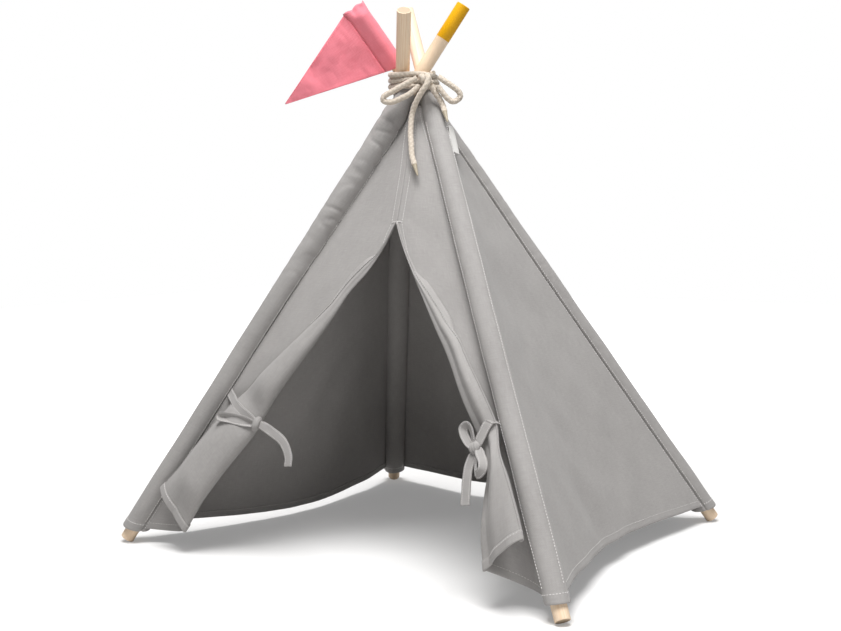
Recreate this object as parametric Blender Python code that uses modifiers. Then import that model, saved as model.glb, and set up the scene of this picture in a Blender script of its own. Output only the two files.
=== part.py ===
"""A small play tent: four round poles lashed near the top, a sewn cotton cover and a pennant.

Units are metres and +Z is up. The origin is on the floor, under the middle of the tent,
and the door faces -Y. Every place on the cover is worked out from the four pole lines.
"""

import math

import bmesh
import bpy
from mathutils import Matrix, Vector

UP = Vector((0, 0, 1))

# Frame of poles
FRONT_WIDTH = 0.676
REAR_WIDTH = 0.558
DEPTH = 0.525
CROSSING_HEIGHT = 0.600
CROSSING_Y = -0.0527
POLE_LENGTH = 0.840
POLE_DIAMETER = 0.018
POLE_CHAMFER = 0.0008
POLE_SIDES = 32
# Where each pole passes the middle of the lashing, in pole diameters
CROSSING_SHARES = {
    "front_left": (0.61, -0.65),
    "front_right": (0.80, 0.43),
    "back_right": (-0.64, 0.68),
    "back_left": (-0.60, -0.46),
}

# Cloth, and the sleeves that the poles stand in
CLOTH = 0.0012
GAP = 0.0003
SLEEVE_RADIUS = 0.0165
SLEEVE_HANG_SHARE = 0.3
SLEEVE_FOOT = 0.026
SLEEVE_TAPER = 0.026
SLEEVE_TOP = 0.026
SLEEVE_SIDES = 18
SEAM_TURN = math.radians(24)

# Walls: the sag is how far the loose hem hangs in, the drop how far it hangs down
WALL_TOP = 0.052
HEM_HEIGHT = 0.028
LEFT_SAG = 0.052
RIGHT_SAG = 0.036
BACK_SAG = 0.044
LEFT_DROP = 0.014

# Door and flaps: heights are shares of the door's height, places across are shares of the way
# from the left pole to the right one
DOOR_HEIGHT = 0.421
FRONT_STAND = 0.010
SLIT = 0.0016
SEAM_SHARES = ((1.0, 0.577), (1.15, 0.59), (1.24, 0.585), (1.325, 0.54))
LEFT_CREASE_SHARES = ((0.066, 0.150), (1.0, 0.577))
RIGHT_CREASE_SHARES = ((0.105, 0.872), (0.283, 0.901), (0.472, 0.897), (0.655, 0.835), (0.87, 0.690), (1.0, 0.577))
LEFT_EDGE_SHARES = ((0.184, 0.021), (0.41, 0.078), (0.487, 0.092), (0.66, 0.189), (0.756, 0.290), (0.90, 0.430))
RIGHT_EDGE_SHARES = ((0.197, 0.985), (0.455, 0.972), (0.546, 0.966), (0.638, 0.925), (0.766, 0.872), (0.88, 0.740))
FLAP_TOP_SHARE = 0.90
LEFT_FLAP_LIFT = 0.009
RIGHT_FLAP_LIFT = 0.021
RIGHT_FLAP_TOP_LIFT = 0.004

# Ties: a strap's route is shares of the way up its flap, and across it from the crease;
# a loop's or tail's is in knot sizes right, up and out from the knot's middle
TIE_WIDTH = 0.0075
TIE_KNOT = 0.012
KNOT_STAND = 0.0010
KNOT_SHARES = (1.1, 0.7, 0.9)
LEFT_KNOT_SHARES = (0.385, 0.09)
LEFT_STRAP_SHARES = ((0.388, 0.19), (0.390, 0.45), (0.393, 0.75), (0.396, 1.02))
LEFT_STRAP_END_SHARE = 0.35
LEFT_LOOP_SHARES = (
    (-0.60, 0.06, 0.10),
    (-1.60, 0.45, 0.40),
    (-3.20, 0.90, 0.80),
    (-4.60, 0.98, 1.02),
    (-5.15, 0.60, 1.08),
    (-4.70, 0.10, 1.02),
    (-3.20, -0.05, 0.80),
    (-1.60, -0.15, 0.40),
    (-0.56, -0.26, 0.10),
)
LEFT_TAIL_SHARES = ((0.58, -0.05, 0.0), (2.20, -0.60, 0.1), (4.20, -1.55, 0.2), (5.20, -2.90, 0.1), (5.35, -4.00, 0.0))
RIGHT_KNOT_SHARES = (0.33, 0.03)
RIGHT_STRAP_SHARES = ((0.335, 0.32), (0.342, 0.55), (0.350, 0.80), (0.356, 1.04))
RIGHT_STRAP_END_SHARE = 0.335
RIGHT_HIGH_LOOP_SHARES = (
    (-0.30, 0.50, 0.00),
    (-0.45, 1.10, 0.10),
    (-0.90, 1.85, 0.15),
    (-1.60, 2.25, 0.15),
    (-2.10, 1.90, 0.15),
    (-1.70, 1.20, 0.10),
    (-1.10, 0.60, 0.05),
    (-0.58, 0.20, 0.00),
)
RIGHT_LOW_LOOP_SHARES = (
    (0.57, -0.15, 0.25),
    (1.15, -0.65, 0.75),
    (1.85, -1.35, 1.20),
    (2.00, -2.05, 1.35),
    (1.50, -2.55, 1.25),
    (1.00, -2.00, 0.90),
    (0.60, -1.20, 0.45),
    (0.32, -0.54, 0.10),
)
RIGHT_TAIL_SHARES = ((-0.10, -0.50, 0.0), (-0.30, -1.80, 0.1), (-0.20, -3.20, 0.2), (0.05, -5.00, 0.2))

# Rope: the routes of the bow's loops and tails are places in the world
ROPE_DIAMETER = 0.0072
ROPE_TURNS = 2.87
ROPE_PITCH = 0.0075
TURN_POINTS = 26
WINDING_START = math.radians(-30)
KNOT_PLACE = Vector((0.0383, -0.0742, 0.6030))
KNOT_HEADING = math.radians(36)
KNOT_SIZE = Vector((0.024, 0.013, 0.015))
TIP_LENGTH = 0.016
TIP_END = 0.0022
BOW_LEFT = (
    (0.0288, -0.0837, 0.6045),
    (0.0180, -0.0912, 0.6000),
    (0.0050, -0.1005, 0.5920),
    (-0.0060, -0.1070, 0.5835),
    (-0.0064, -0.1067, 0.5760),
    (0.0022, -0.1018, 0.5740),
    (0.0125, -0.0965, 0.5780),
    (0.0220, -0.0905, 0.5845),
    (0.0312, -0.0819, 0.5948),
)
BOW_RIGHT = (
    (0.0499, -0.0663, 0.6056),
    (0.0565, -0.0636, 0.6005),
    (0.0640, -0.0580, 0.5940),
    (0.0708, -0.0520, 0.5865),
    (0.0716, -0.0509, 0.5795),
    (0.0655, -0.0560, 0.5742),
    (0.0600, -0.0610, 0.5780),
    (0.0550, -0.0652, 0.5855),
    (0.0500, -0.0682, 0.5940),
)
TAIL_FRONT = (
    (0.0402, -0.0851, 0.6030),
    (0.0402, -0.0878, 0.5945),
    (0.0352, -0.0892, 0.5850),
    (0.0285, -0.0882, 0.5730),
    (0.0232, -0.0875, 0.5590),
    (0.0245, -0.0930, 0.5370),
    (0.0295, -0.0990, 0.5202),
    (0.0337, -0.1033, 0.5063),
    (0.0394, -0.1067, 0.4956),
)
TAIL_SIDE = (
    (0.0422, -0.0722, 0.5951),
    (0.0450, -0.0690, 0.5870),
    (0.0490, -0.0645, 0.5790),
    (0.0530, -0.0625, 0.5700),
    (0.0578, -0.0655, 0.5620),
)

# Pennant on the back right pole
PENNANT_SLEEVE = 0.090
PENNANT_OVER_END = 0.010
PENNANT_RADIUS = 0.0115
PENNANT_REACH = 0.150
PENNANT_TIP_SHARE = 0.50
PENNANT_BLUNT_SHARE = 0.985

# Folded label in the seam of the front right sleeve
LABEL_BELOW_CROSSING = 0.062
LABEL_LENGTH = 0.040
LABEL_REACH = 0.013

CURVE_STEPS = 12


class Pole:
    """One pole's line, from the floor up through the lashing, and the sleeve around it."""

    def __init__(self, corner, foot_x, foot_y):
        across, back = CROSSING_SHARES[corner]
        crossing = Vector((across * POLE_DIAMETER, CROSSING_Y + back * POLE_DIAMETER, CROSSING_HEIGHT))
        self.corner = corner
        self.floor = Vector((foot_x, foot_y, 0))
        self.along = (crossing - self.floor).normalized()
        self.reach = (crossing - self.floor).length
        outward = Vector((foot_x, foot_y, 0))
        self.outward = (outward - self.along * outward.dot(self.along)).normalized()
        rim = POLE_DIAMETER / 2 - POLE_CHAMFER
        self.start = rim * math.sin(math.acos(self.along.z)) / self.along.z
        self.end = self.start + POLE_LENGTH

    def at(self, distance):
        return self.floor + self.along * distance

    def at_height(self, height):
        return self.at(height / self.along.z)

    def slack(self, distance):
        """How much wider than snug the sleeve is: nothing at its gathered top."""
        share = (self.reach - SLEEVE_TOP - distance) / SLEEVE_TAPER
        return (SLEEVE_RADIUS - SNUG) * min(max(share, 0), 1)

    def sleeve_middle(self, distance):
        return self.at(distance) - self.outward * self.slack(distance) * SLEEVE_HANG_SHARE

    def seam(self, neighbour, distance, turn=SEAM_TURN, stand=CLOTH / 4 + GAP):
        """Where the wall towards the neighbour meets this sleeve, or a place turned further out."""
        span = neighbour.at_height(self.at(distance).z) - self.at(distance)
        towards = (span - self.along * span.dot(self.along)).normalized()
        side = self.along.cross(towards)
        if side.dot(self.outward) < 0:
            side = -side
        heading = towards * math.cos(turn) + side * math.sin(turn)
        return self.sleeve_middle(distance) + heading * (SNUG + self.slack(distance) + CLOTH / 2 + stand)


SNUG = POLE_DIAMETER / 2 + GAP + CLOTH / 2
POLES = {
    "front_left": Pole("front_left", -FRONT_WIDTH / 2, -DEPTH / 2),
    "front_right": Pole("front_right", FRONT_WIDTH / 2, -DEPTH / 2),
    "back_right": Pole("back_right", REAR_WIDTH / 2, DEPTH / 2),
    "back_left": Pole("back_left", -REAR_WIDTH / 2, DEPTH / 2),
}
LEFT = POLES["front_left"]
RIGHT = POLES["front_right"]
ROOT = POLES["back_right"]


def clear_scene():
    for old in list(bpy.data.objects):
        bpy.data.objects.remove(old)


def material(name, colour, roughness):
    found = bpy.data.materials.new(name)
    found.use_nodes = True
    shader = found.node_tree.nodes["Principled BSDF"]
    shader.inputs["Base Color"].default_value = (*colour, 1)
    shader.inputs["Roughness"].default_value = roughness
    shader.inputs["Metallic"].default_value = 0
    return found


def add(name, data, stuff, collection):
    made = bpy.data.objects.new(name, data)
    made.data.materials.append(stuff)
    collection.objects.link(made)
    return made


def smooth_path(points, count):
    """count + 1 places, evenly spaced along a smooth curve through the points."""
    points = [Vector(p) for p in points]
    ends = [2 * points[0] - points[1], *points, 2 * points[-1] - points[-2]]
    fine = []
    for before, start, end, after in zip(ends, ends[1:], ends[2:], ends[3:]):
        for step in range(CURVE_STEPS):
            t = step / CURVE_STEPS
            bend = (2 * before - 5 * start + 4 * end - after) * t * t
            twist = (3 * start - before - 3 * end + after) * t**3
            fine.append((2 * start + (end - before) * t + bend + twist) / 2)
    return even_path([*fine, points[-1]], count)


def even_path(fine, count):
    """count + 1 places, evenly spaced along straight pieces between the points."""
    lengths = [0]
    for one, other in zip(fine, fine[1:]):
        lengths.append(lengths[-1] + (other - one).length)
    places, piece = [], 0
    for step in range(count + 1):
        wanted = lengths[-1] * step / count
        while piece < len(fine) - 2 and lengths[piece + 1] < wanted:
            piece += 1
        share = (wanted - lengths[piece]) / max(lengths[piece + 1] - lengths[piece], 1e-9)
        places.append(fine[piece].lerp(fine[piece + 1], share))
    return places


def sheet(name, rows, stuff, collection, closed=False):
    """Cloth through rows of places, given its thickness by Solidify."""
    mesh = bpy.data.meshes.new(name)
    shape = bmesh.new()
    knots = [[shape.verts.new(place) for place in row] for row in rows]
    for low, high in zip(knots, knots[1:]):
        pairs = list(zip(low, low[1:], high[1:], high))
        if closed:
            pairs.append((low[-1], low[0], high[0], high[-1]))
        for pair in pairs:
            shape.faces.new(pair)
    bmesh.ops.recalc_face_normals(shape, faces=shape.faces)
    shape.to_mesh(mesh)
    shape.free()
    made = add(name, mesh, stuff, collection)
    made.data.shade_smooth()
    thick = made.modifiers.new("cloth", "SOLIDIFY")
    thick.thickness = CLOTH
    thick.offset = 0
    return made


def tube(name, points, radius, stuff, collection, closed=False):
    """A round cord along the points, as a curve with filled ends."""
    curve = bpy.data.curves.new(name, "CURVE")
    curve.dimensions = "3D"
    curve.bevel_depth = radius
    curve.bevel_resolution = 2
    curve.use_fill_caps = True
    line = curve.splines.new("POLY")
    line.points.add(len(points) - 1)
    for point, place in zip(line.points, points):
        point.co = (*place, 1)
    return add(name, curve, stuff, collection)


def pole(which, stuff, collection):
    """A dowel with square-cut ends and a small chamfer, its lower rim on the floor."""
    bpy.ops.mesh.primitive_cylinder_add(vertices=POLE_SIDES, radius=POLE_DIAMETER / 2, depth=POLE_LENGTH)
    made = bpy.context.active_object
    made.name = "pole_" + which.corner
    made.data.materials.append(stuff)
    for home in list(made.users_collection):
        home.objects.unlink(made)
    collection.objects.link(made)
    made.location = which.at((which.start + which.end) / 2)
    made.rotation_mode = "QUATERNION"
    made.rotation_quaternion = UP.rotation_difference(which.along)
    made.data.shade_smooth()
    made.data.set_sharp_from_angle(angle=math.radians(30))
    chamfer = made.modifiers.new("chamfer", "BEVEL")
    chamfer.width = POLE_CHAMFER
    chamfer.segments = 1
    chamfer.angle_limit = math.radians(30)
    return made


def ring(middle, along, radius, sides):
    """Places round a circle that stands square to a line."""
    first = along.orthogonal().normalized()
    second = along.cross(first)
    turns = [math.tau * side / sides for side in range(sides)]
    return [middle + (first * math.cos(turn) + second * math.sin(turn)) * radius for turn in turns]


def sleeve(which, stuff, collection):
    """The wide cloth channel round a pole, gathered to the pole below the lashing."""
    low, high = SLEEVE_FOOT, which.reach - SLEEVE_TOP
    taper = high - SLEEVE_TAPER
    stops = [low + (taper - low) * step / 5 for step in range(6)]
    stops += [taper + SLEEVE_TAPER * step / 4 for step in range(1, 5)]
    rows = [
        ring(which.sleeve_middle(stop), which.along, SNUG + which.slack(stop), SLEEVE_SIDES) for stop in stops
    ]
    return sheet("sleeve_" + which.corner, rows, stuff, collection, closed=True)


def wall(name, first, second, sag, drop, stuff, collection):
    """A wall between two sleeves, whose loose hem hangs inwards and a little down."""
    span = second.floor - first.floor
    inward = UP.cross(span).normalized()
    if inward.dot(first.floor) > 0:
        inward = -inward
    steps_up, steps_across = 14, 12
    rows = []
    for up in range(steps_up + 1):
        rise = up / steps_up
        ends = []
        for one, other in ((first, second), (second, first)):
            hem, top = HEM_HEIGHT / one.along.z, one.reach - WALL_TOP
            ends.append(one.seam(other, hem + (top - hem) * rise))
        row = []
        for across in range(steps_across + 1):
            share = across / steps_across
            belly = math.sin(math.pi * share)
            place = ends[0].lerp(ends[1], share)
            place += inward * sag * belly * (1 - rise) ** 1.5
            place -= UP * drop * belly * (1 - rise) ** 3
            row.append(place)
        rows.append(row)
    return sheet(name, rows, stuff, collection)


def front_normal():
    """The outward direction of the front, square to the plane of its two poles."""
    middle = (LEFT.at(LEFT.reach) + RIGHT.at(RIGHT.reach)) / 2
    square = (RIGHT.floor - LEFT.floor).cross(middle - LEFT.floor).normalized()
    return square if square.y < 0 else -square


FRONT_NORMAL = front_normal()


def front_place(height_share, across_share, lift=0):
    """A place on the front, at a share of the door's height and of the way across."""
    height = DOOR_HEIGHT * height_share
    place = LEFT.at_height(height).lerp(RIGHT.at_height(height), across_share)
    return place + FRONT_NORMAL * (FRONT_STAND + lift)


def front_curve(shares, count, lift=0):
    return smooth_path([front_place(up, across, lift) for up, across in shares], count)


def front_panel(name, which, other, crease_shares, stuff, collection):
    """Half of the front: from the sleeve to the door's crease, and to the middle seam above."""
    door_steps, top_steps, steps_across = 11, 4, 6
    aside = Vector((SLIT / 2, 0, 0)) * (-1 if which is LEFT else 1)
    inner = [place + aside for place in front_curve(crease_shares, door_steps)]
    inner += [place + aside for place in front_curve(SEAM_SHARES, top_steps)[1:]]
    hem, door = HEM_HEIGHT / which.along.z, DOOR_HEIGHT / which.along.z
    top = which.reach - WALL_TOP
    stops = [hem + (door - hem) * step / door_steps for step in range(door_steps + 1)]
    stops += [door + (top - door) * step / top_steps for step in range(1, top_steps + 1)]
    rows = []
    for stop, end in zip(stops, inner):
        start = which.seam(other, stop)
        rows.append([start.lerp(end, step / steps_across) for step in range(steps_across + 1)])
    return sheet(name, rows, stuff, collection)


def flap_rows(crease_shares, edge_shares, lifts):
    """The door's half folded outwards: from its crease to its free edge, standing off the front."""
    steps_down, steps_across = 14, 4
    highest = crease_shares[-1][0] * FLAP_TOP_SHARE
    whole = front_curve(crease_shares, 4 * steps_down, CLOTH + GAP)
    kept = [place for place in whole if place.z < DOOR_HEIGHT * highest]
    crease = even_path(kept, steps_down)
    edge = front_curve(edge_shares, steps_down)
    rows = []
    for step, (start, end) in enumerate(zip(crease, edge)):
        lift = lifts[0] + (lifts[1] - lifts[0]) * step / steps_down
        end = end + FRONT_NORMAL * lift
        row = []
        for across in range(steps_across + 1):
            share = across / steps_across
            bow = FRONT_NORMAL * lift * math.sin(math.pi * share) / 4
            row.append(start.lerp(end, share) + bow)
        rows.append(row)
    return rows


def on_cloth(rows, up, across, stand):
    """A place that stands off a grid of cloth, at shares of the way up and across it."""
    tall, wide = up * (len(rows) - 1), across * (len(rows[0]) - 1)
    row = min(int(tall), len(rows) - 2)
    column = min(int(wide), len(rows[0]) - 2)
    low, high = rows[row], rows[row + 1]
    start = low[column].lerp(high[column], tall - row)
    end = low[column + 1].lerp(high[column + 1], tall - row)
    square = (end - start).cross(high[column] - low[column]).normalized()
    if square.dot(FRONT_NORMAL) < 0:
        square = -square
    return start.lerp(end, wide - column) + square * stand


def from_knot(middle, shares):
    """A place right, up and out from a tie's knot, in knot sizes."""
    right = Vector((1, 0, 0))
    up = FRONT_NORMAL.cross(right)
    if up.z < 0:
        up = -up
    return middle + (right * shares[0] + up * shares[1] + FRONT_NORMAL * shares[2]) * TIE_KNOT


def ribbon(name, rails, stuff, collection):
    """A tie, as a strip of cloth between the lines of its two edges."""
    lines = [smooth_path(rail, 3 * len(rail)) for rail in rails]
    return sheet(name, list(zip(*lines)), stuff, collection)


def loose_ribbon(name, middle, route, edgewise, stuff, collection):
    """A tie that hangs from its knot, flat, or edgewise where it makes a loop."""
    places = [from_knot(middle, shares) for shares in route]
    rails = [[], []]
    for step, place in enumerate(places):
        ahead = places[min(step + 1, len(places) - 1)] - places[max(step - 1, 0)]
        across = FRONT_NORMAL if edgewise else ahead.cross(FRONT_NORMAL).normalized()
        rails[0].append(place - across * TIE_WIDTH / 2)
        rails[1].append(place + across * TIE_WIDTH / 2)
    return ribbon(name, rails, stuff, collection)


def knot_on(rows, shares):
    """The middle of a knot that lies on a flap."""
    return on_cloth(rows, *shares, CLOTH / 2 + KNOT_STAND + TIE_KNOT * KNOT_SHARES[1] / 2)


def strap(name, which, other, rows, route, end_share, stuff, collection):
    """The tie's strap: from the knot across the flap and over its edge to the sleeve."""
    tall = (rows[-1][0] - rows[0][0]).length
    rails = []
    for side in (-TIE_WIDTH / 2, TIE_WIDTH / 2):
        rail = [on_cloth(rows, up + side / tall, across, CLOTH + 2 * GAP) for up, across in route]
        rail.append(which.seam(other, which.reach * end_share + side, 2 * SEAM_TURN, CLOTH))
        rails.append(rail)
    return ribbon(name, rails, stuff, collection)


def lump(name, middle, size, heading, stuff, collection):
    """A knot, as a rounded lump of the given sizes along, across and up."""
    mesh = bpy.data.meshes.new(name)
    shape = bmesh.new()
    bmesh.ops.create_uvsphere(shape, u_segments=14, v_segments=9, radius=0.5)
    bmesh.ops.scale(shape, vec=size, verts=shape.verts)
    shape.to_mesh(mesh)
    shape.free()
    made = add(name, mesh, stuff, collection)
    made.location = middle
    made.rotation_euler.z = heading
    made.data.shade_smooth()
    return made


def winding_path():
    """The rope's turns round the four poles, each as tight as the tilted poles let it lie."""
    tilt = min(which.along.z for which in POLES.values())
    stand = (POLE_DIAMETER / 2 + ROPE_DIAMETER / 2) / tilt + 2 * GAP
    steps = 4 * TURN_POINTS
    count = int(ROPE_TURNS * steps)
    top = CROSSING_HEIGHT + ROPE_PITCH * ROPE_TURNS / 2
    fine = []
    for step in range(count + 1):
        heading = WINDING_START + math.tau * step / steps
        height = top - ROPE_PITCH * step / steps
        side = Vector((math.cos(heading), math.sin(heading), 0))
        outer = max((which.at_height(height) for which in POLES.values()), key=side.dot)
        fine.append(outer + side * stand)
    return even_path(fine, int(ROPE_TURNS * TURN_POINTS))


def tip(name, route, stuff, collection):
    """The hardened end of a rope's tail: a slim cone in line with it."""
    end, before = Vector(route[-1]), Vector(route[-2])
    ahead = (end - before).normalized()
    bpy.ops.mesh.primitive_cone_add(
        vertices=12,
        radius1=ROPE_DIAMETER / 2,
        radius2=TIP_END / 2,
        depth=TIP_LENGTH,
        location=end + ahead * (TIP_LENGTH / 2 + 2 * GAP),
    )
    made = bpy.context.active_object
    made.name = name
    made.rotation_mode = "QUATERNION"
    made.rotation_quaternion = UP.rotation_difference(ahead)
    made.data.materials.append(stuff)
    for home in list(made.users_collection):
        home.objects.unlink(made)
    collection.objects.link(made)
    return made


def cord(name, route, stuff, collection):
    length = sum((Vector(b) - Vector(a)).length for a, b in zip(route, route[1:]))
    count = max(4, round(length / ROPE_DIAMETER * 1.5))
    return tube(name, smooth_path(route, count), ROPE_DIAMETER / 2, stuff, collection)


def pennant(stuff, collection):
    """A cloth triangle with a channel along one side, pushed over the end of the back right pole."""
    along = ROOT.along
    down = (along * along.z - UP).normalized()
    hang = down * (PENNANT_RADIUS - CLOTH / 2 - POLE_DIAMETER / 2 - 2 * GAP)
    high = ROOT.end + PENNANT_OVER_END
    low = high - PENNANT_SLEEVE
    stops = [low + (high - low) * step / 4 for step in range(5)]
    rows = [ring(ROOT.at(stop) + hang, along, PENNANT_RADIUS, SLEEVE_SIDES) for stop in stops]
    channel = sheet("pennant_sleeve", rows, stuff, collection, closed=True)
    start = hang + down * (PENNANT_RADIUS + CLOTH / 2 + GAP)
    tip_place = ROOT.at(high - PENNANT_SLEEVE * PENNANT_TIP_SHARE) + down * PENNANT_REACH
    rows = []
    for step in range(7):
        root_place = ROOT.at(high - PENNANT_SLEEVE * step / 6) + start
        shares = [PENNANT_BLUNT_SHARE * across / 9 for across in range(10)]
        rows.append([root_place.lerp(tip_place, share) for share in shares])
    return [channel, sheet("pennant", rows, stuff, collection)]


def label(stuff, collection):
    """A small blank label, folded over and caught in the seam of the front right sleeve."""
    middle = RIGHT.reach - LABEL_BELOW_CROSSING - LABEL_LENGTH / 2
    rows = []
    for step in range(5):
        distance = middle + LABEL_LENGTH * (step / 4 - 0.5)
        seam = RIGHT.seam(ROOT, distance)
        away = (seam - RIGHT.sleeve_middle(distance)).normalized()
        outward = RIGHT.along.cross(away)
        if outward.dot(RIGHT.outward) < 0:
            outward = -outward
        stand = (away + 2 * outward).normalized()
        start = seam + stand * (CLOTH + GAP)
        rows.append([start, start + stand * LABEL_REACH / 2, start + stand * LABEL_REACH])
    return sheet("label", rows, stuff, collection)


def meeting(one, other):
    """Where two crossing poles come closest, and the direction square to both."""
    square = one.along.cross(other.along).normalized()
    gap = other.floor - one.floor
    plane = other.along.cross(square)
    return one.at(gap.dot(plane) / one.along.dot(plane)), square


def carry(name, place, pieces, collection):
    """An empty on a joint's axis, which carries the pieces that move with it."""
    empty = bpy.data.objects.new(name, None)
    empty.location = place
    collection.objects.link(empty)
    for piece in pieces:
        piece.parent = empty
        piece.matrix_parent_inverse = Matrix.Translation(place).inverted()


def main():
    clear_scene()
    tent = bpy.data.collections.new("play_tent")
    bpy.context.scene.collection.children.link(tent)
    wood = material("birch", (0.84, 0.69, 0.49), 0.55)
    cotton = material("grey_cotton", (0.31, 0.30, 0.295), 0.9)
    rope_cotton = material("cream_rope", (0.80, 0.73, 0.62), 0.9)
    hard_end = material("rope_tip", (0.55, 0.50, 0.42), 0.5)
    pink = material("pink_cotton", (0.86, 0.13, 0.18), 0.85)
    white = material("label_tape", (0.85, 0.85, 0.84), 0.7)

    poles = {corner: pole(which, wood, tent) for corner, which in POLES.items()}
    sleeves = {corner: sleeve(which, cotton, tent) for corner, which in POLES.items()}
    back_left = POLES["back_left"]
    wall("wall_right", RIGHT, ROOT, RIGHT_SAG, 0, cotton, tent)
    wall("wall_back", ROOT, back_left, BACK_SAG, 0, cotton, tent)
    wall_left = wall("wall_left", back_left, LEFT, LEFT_SAG, LEFT_DROP, cotton, tent)

    left_rows = flap_rows(LEFT_CREASE_SHARES, LEFT_EDGE_SHARES, (LEFT_FLAP_LIFT, LEFT_FLAP_LIFT))
    left_knot = knot_on(left_rows, LEFT_KNOT_SHARES)
    knot_size = Vector(KNOT_SHARES) * TIE_KNOT
    left_side = [
        front_panel("front_panel_left", LEFT, RIGHT, LEFT_CREASE_SHARES, cotton, tent),
        sheet("door_flap_left", left_rows, cotton, tent),
        strap("tie_left_strap", LEFT, RIGHT, left_rows, LEFT_STRAP_SHARES, LEFT_STRAP_END_SHARE, cotton, tent),
        loose_ribbon("tie_left_loop", left_knot, LEFT_LOOP_SHARES, True, cotton, tent),
        loose_ribbon("tie_left_tail", left_knot, LEFT_TAIL_SHARES, False, cotton, tent),
        lump("tie_left_knot", left_knot, knot_size, 0, cotton, tent),
    ]
    right_rows = flap_rows(RIGHT_CREASE_SHARES, RIGHT_EDGE_SHARES, (RIGHT_FLAP_LIFT, RIGHT_FLAP_TOP_LIFT))
    right_knot = knot_on(right_rows, RIGHT_KNOT_SHARES)
    right_side = [
        front_panel("front_panel_right", RIGHT, LEFT, RIGHT_CREASE_SHARES, cotton, tent),
        sheet("door_flap_right", right_rows, cotton, tent),
        strap("tie_right_strap", RIGHT, LEFT, right_rows, RIGHT_STRAP_SHARES, RIGHT_STRAP_END_SHARE, cotton, tent),
        loose_ribbon("tie_right_loop_high", right_knot, RIGHT_HIGH_LOOP_SHARES, True, cotton, tent),
        loose_ribbon("tie_right_loop_low", right_knot, RIGHT_LOW_LOOP_SHARES, True, cotton, tent),
        loose_ribbon("tie_right_tail", right_knot, RIGHT_TAIL_SHARES, False, cotton, tent),
        lump("tie_right_knot", right_knot, knot_size, 0, cotton, tent),
        label(white, tent),
    ]

    tube("lashing_rope", winding_path(), ROPE_DIAMETER / 2, rope_cotton, tent)
    lump("rope_knot", KNOT_PLACE, KNOT_SIZE, KNOT_HEADING, rope_cotton, tent)
    cord("bow_loop_left", BOW_LEFT, rope_cotton, tent)
    cord("bow_loop_right", BOW_RIGHT, rope_cotton, tent)
    cord("rope_tail_front", TAIL_FRONT, rope_cotton, tent)
    cord("rope_tail_side", TAIL_SIDE, rope_cotton, tent)
    tip("rope_tip_front", TAIL_FRONT, hard_end, tent)
    tip("rope_tip_side", TAIL_SIDE, hard_end, tent)

    left_side += [poles["front_left"], sleeves["front_left"]]
    right_side += [poles["front_right"], sleeves["front_right"]]
    rear_side = [poles["back_left"], sleeves["back_left"], wall_left]
    bodies = {"front_left": left_side, "front_right": right_side, "back_left": rear_side}
    for corner, pieces in bodies.items():
        carry("fold_" + corner, meeting(POLES[corner], ROOT)[0], pieces, tent)
    carry("pennant_turn", ROOT.at(ROOT.end), pennant(pink, tent), tent)


main()
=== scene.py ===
import math

import bpy
from mathutils import Matrix, Vector, noise
from mathutils.bvhtree import BVHTree


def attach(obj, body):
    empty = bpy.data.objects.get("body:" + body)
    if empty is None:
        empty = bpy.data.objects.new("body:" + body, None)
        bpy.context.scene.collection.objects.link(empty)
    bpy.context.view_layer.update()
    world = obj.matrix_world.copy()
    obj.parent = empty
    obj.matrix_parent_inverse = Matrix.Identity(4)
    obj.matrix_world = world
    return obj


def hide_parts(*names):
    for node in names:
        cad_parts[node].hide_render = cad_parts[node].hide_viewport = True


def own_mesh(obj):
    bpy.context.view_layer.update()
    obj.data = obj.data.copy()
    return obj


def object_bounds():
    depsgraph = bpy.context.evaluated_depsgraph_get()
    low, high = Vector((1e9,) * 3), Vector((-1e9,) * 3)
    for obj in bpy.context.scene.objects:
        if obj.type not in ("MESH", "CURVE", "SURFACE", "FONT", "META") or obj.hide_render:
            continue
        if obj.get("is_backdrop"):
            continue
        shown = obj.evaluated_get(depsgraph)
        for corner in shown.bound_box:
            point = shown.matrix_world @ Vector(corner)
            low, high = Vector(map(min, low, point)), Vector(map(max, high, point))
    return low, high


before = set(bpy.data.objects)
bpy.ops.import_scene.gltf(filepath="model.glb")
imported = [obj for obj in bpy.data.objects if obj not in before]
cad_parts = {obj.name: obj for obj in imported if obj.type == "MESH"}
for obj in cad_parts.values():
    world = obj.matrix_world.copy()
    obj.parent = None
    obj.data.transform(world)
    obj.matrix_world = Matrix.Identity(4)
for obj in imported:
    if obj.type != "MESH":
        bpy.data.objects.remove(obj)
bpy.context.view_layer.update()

scene = bpy.context.scene
UP = Vector((0, 0, 1))

# ---------------------------------------------------------------------------
# Studio: a white floor that keeps the tent's soft shadow, one broad lamp high above the
# tent, a little ahead of it and to the right, a weak one low on the right, and a pale room
# around them. The camera stands low, ahead and to the right, as the photograph was taken.
# ---------------------------------------------------------------------------


def linear(hex_colour):
    """The shader's linear colour for an sRGB hex value."""
    parts = [int(hex_colour[start : start + 2], 16) / 255 for start in (1, 3, 5)]
    return (*[part / 12.92 if part <= 0.04045 else ((part + 0.055) / 1.055) ** 2.4 for part in parts], 1)


def feed(tree, node, inputs):
    """Gives a node's sockets their values, or links them to a socket or to a node's first output in use."""
    for name, value in inputs.items():
        if isinstance(name, int):
            socket = node.inputs[name]
        else:
            socket = next(one for one in node.inputs if one.name == name and one.enabled)
        if isinstance(value, bpy.types.Node):
            value = next(one for one in value.outputs if one.enabled)
        if isinstance(value, bpy.types.NodeSocket):
            tree.links.new(value, socket)
        else:
            socket.default_value = value


def add_node(tree, kind, inputs=None, **settings):
    """Adds a node: settings are its own choices, inputs the values of its sockets or what feeds them."""
    made = tree.nodes.new(kind)
    for name, value in settings.items():
        setattr(made, name, value)
    feed(tree, made, inputs or {})
    return made


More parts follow.
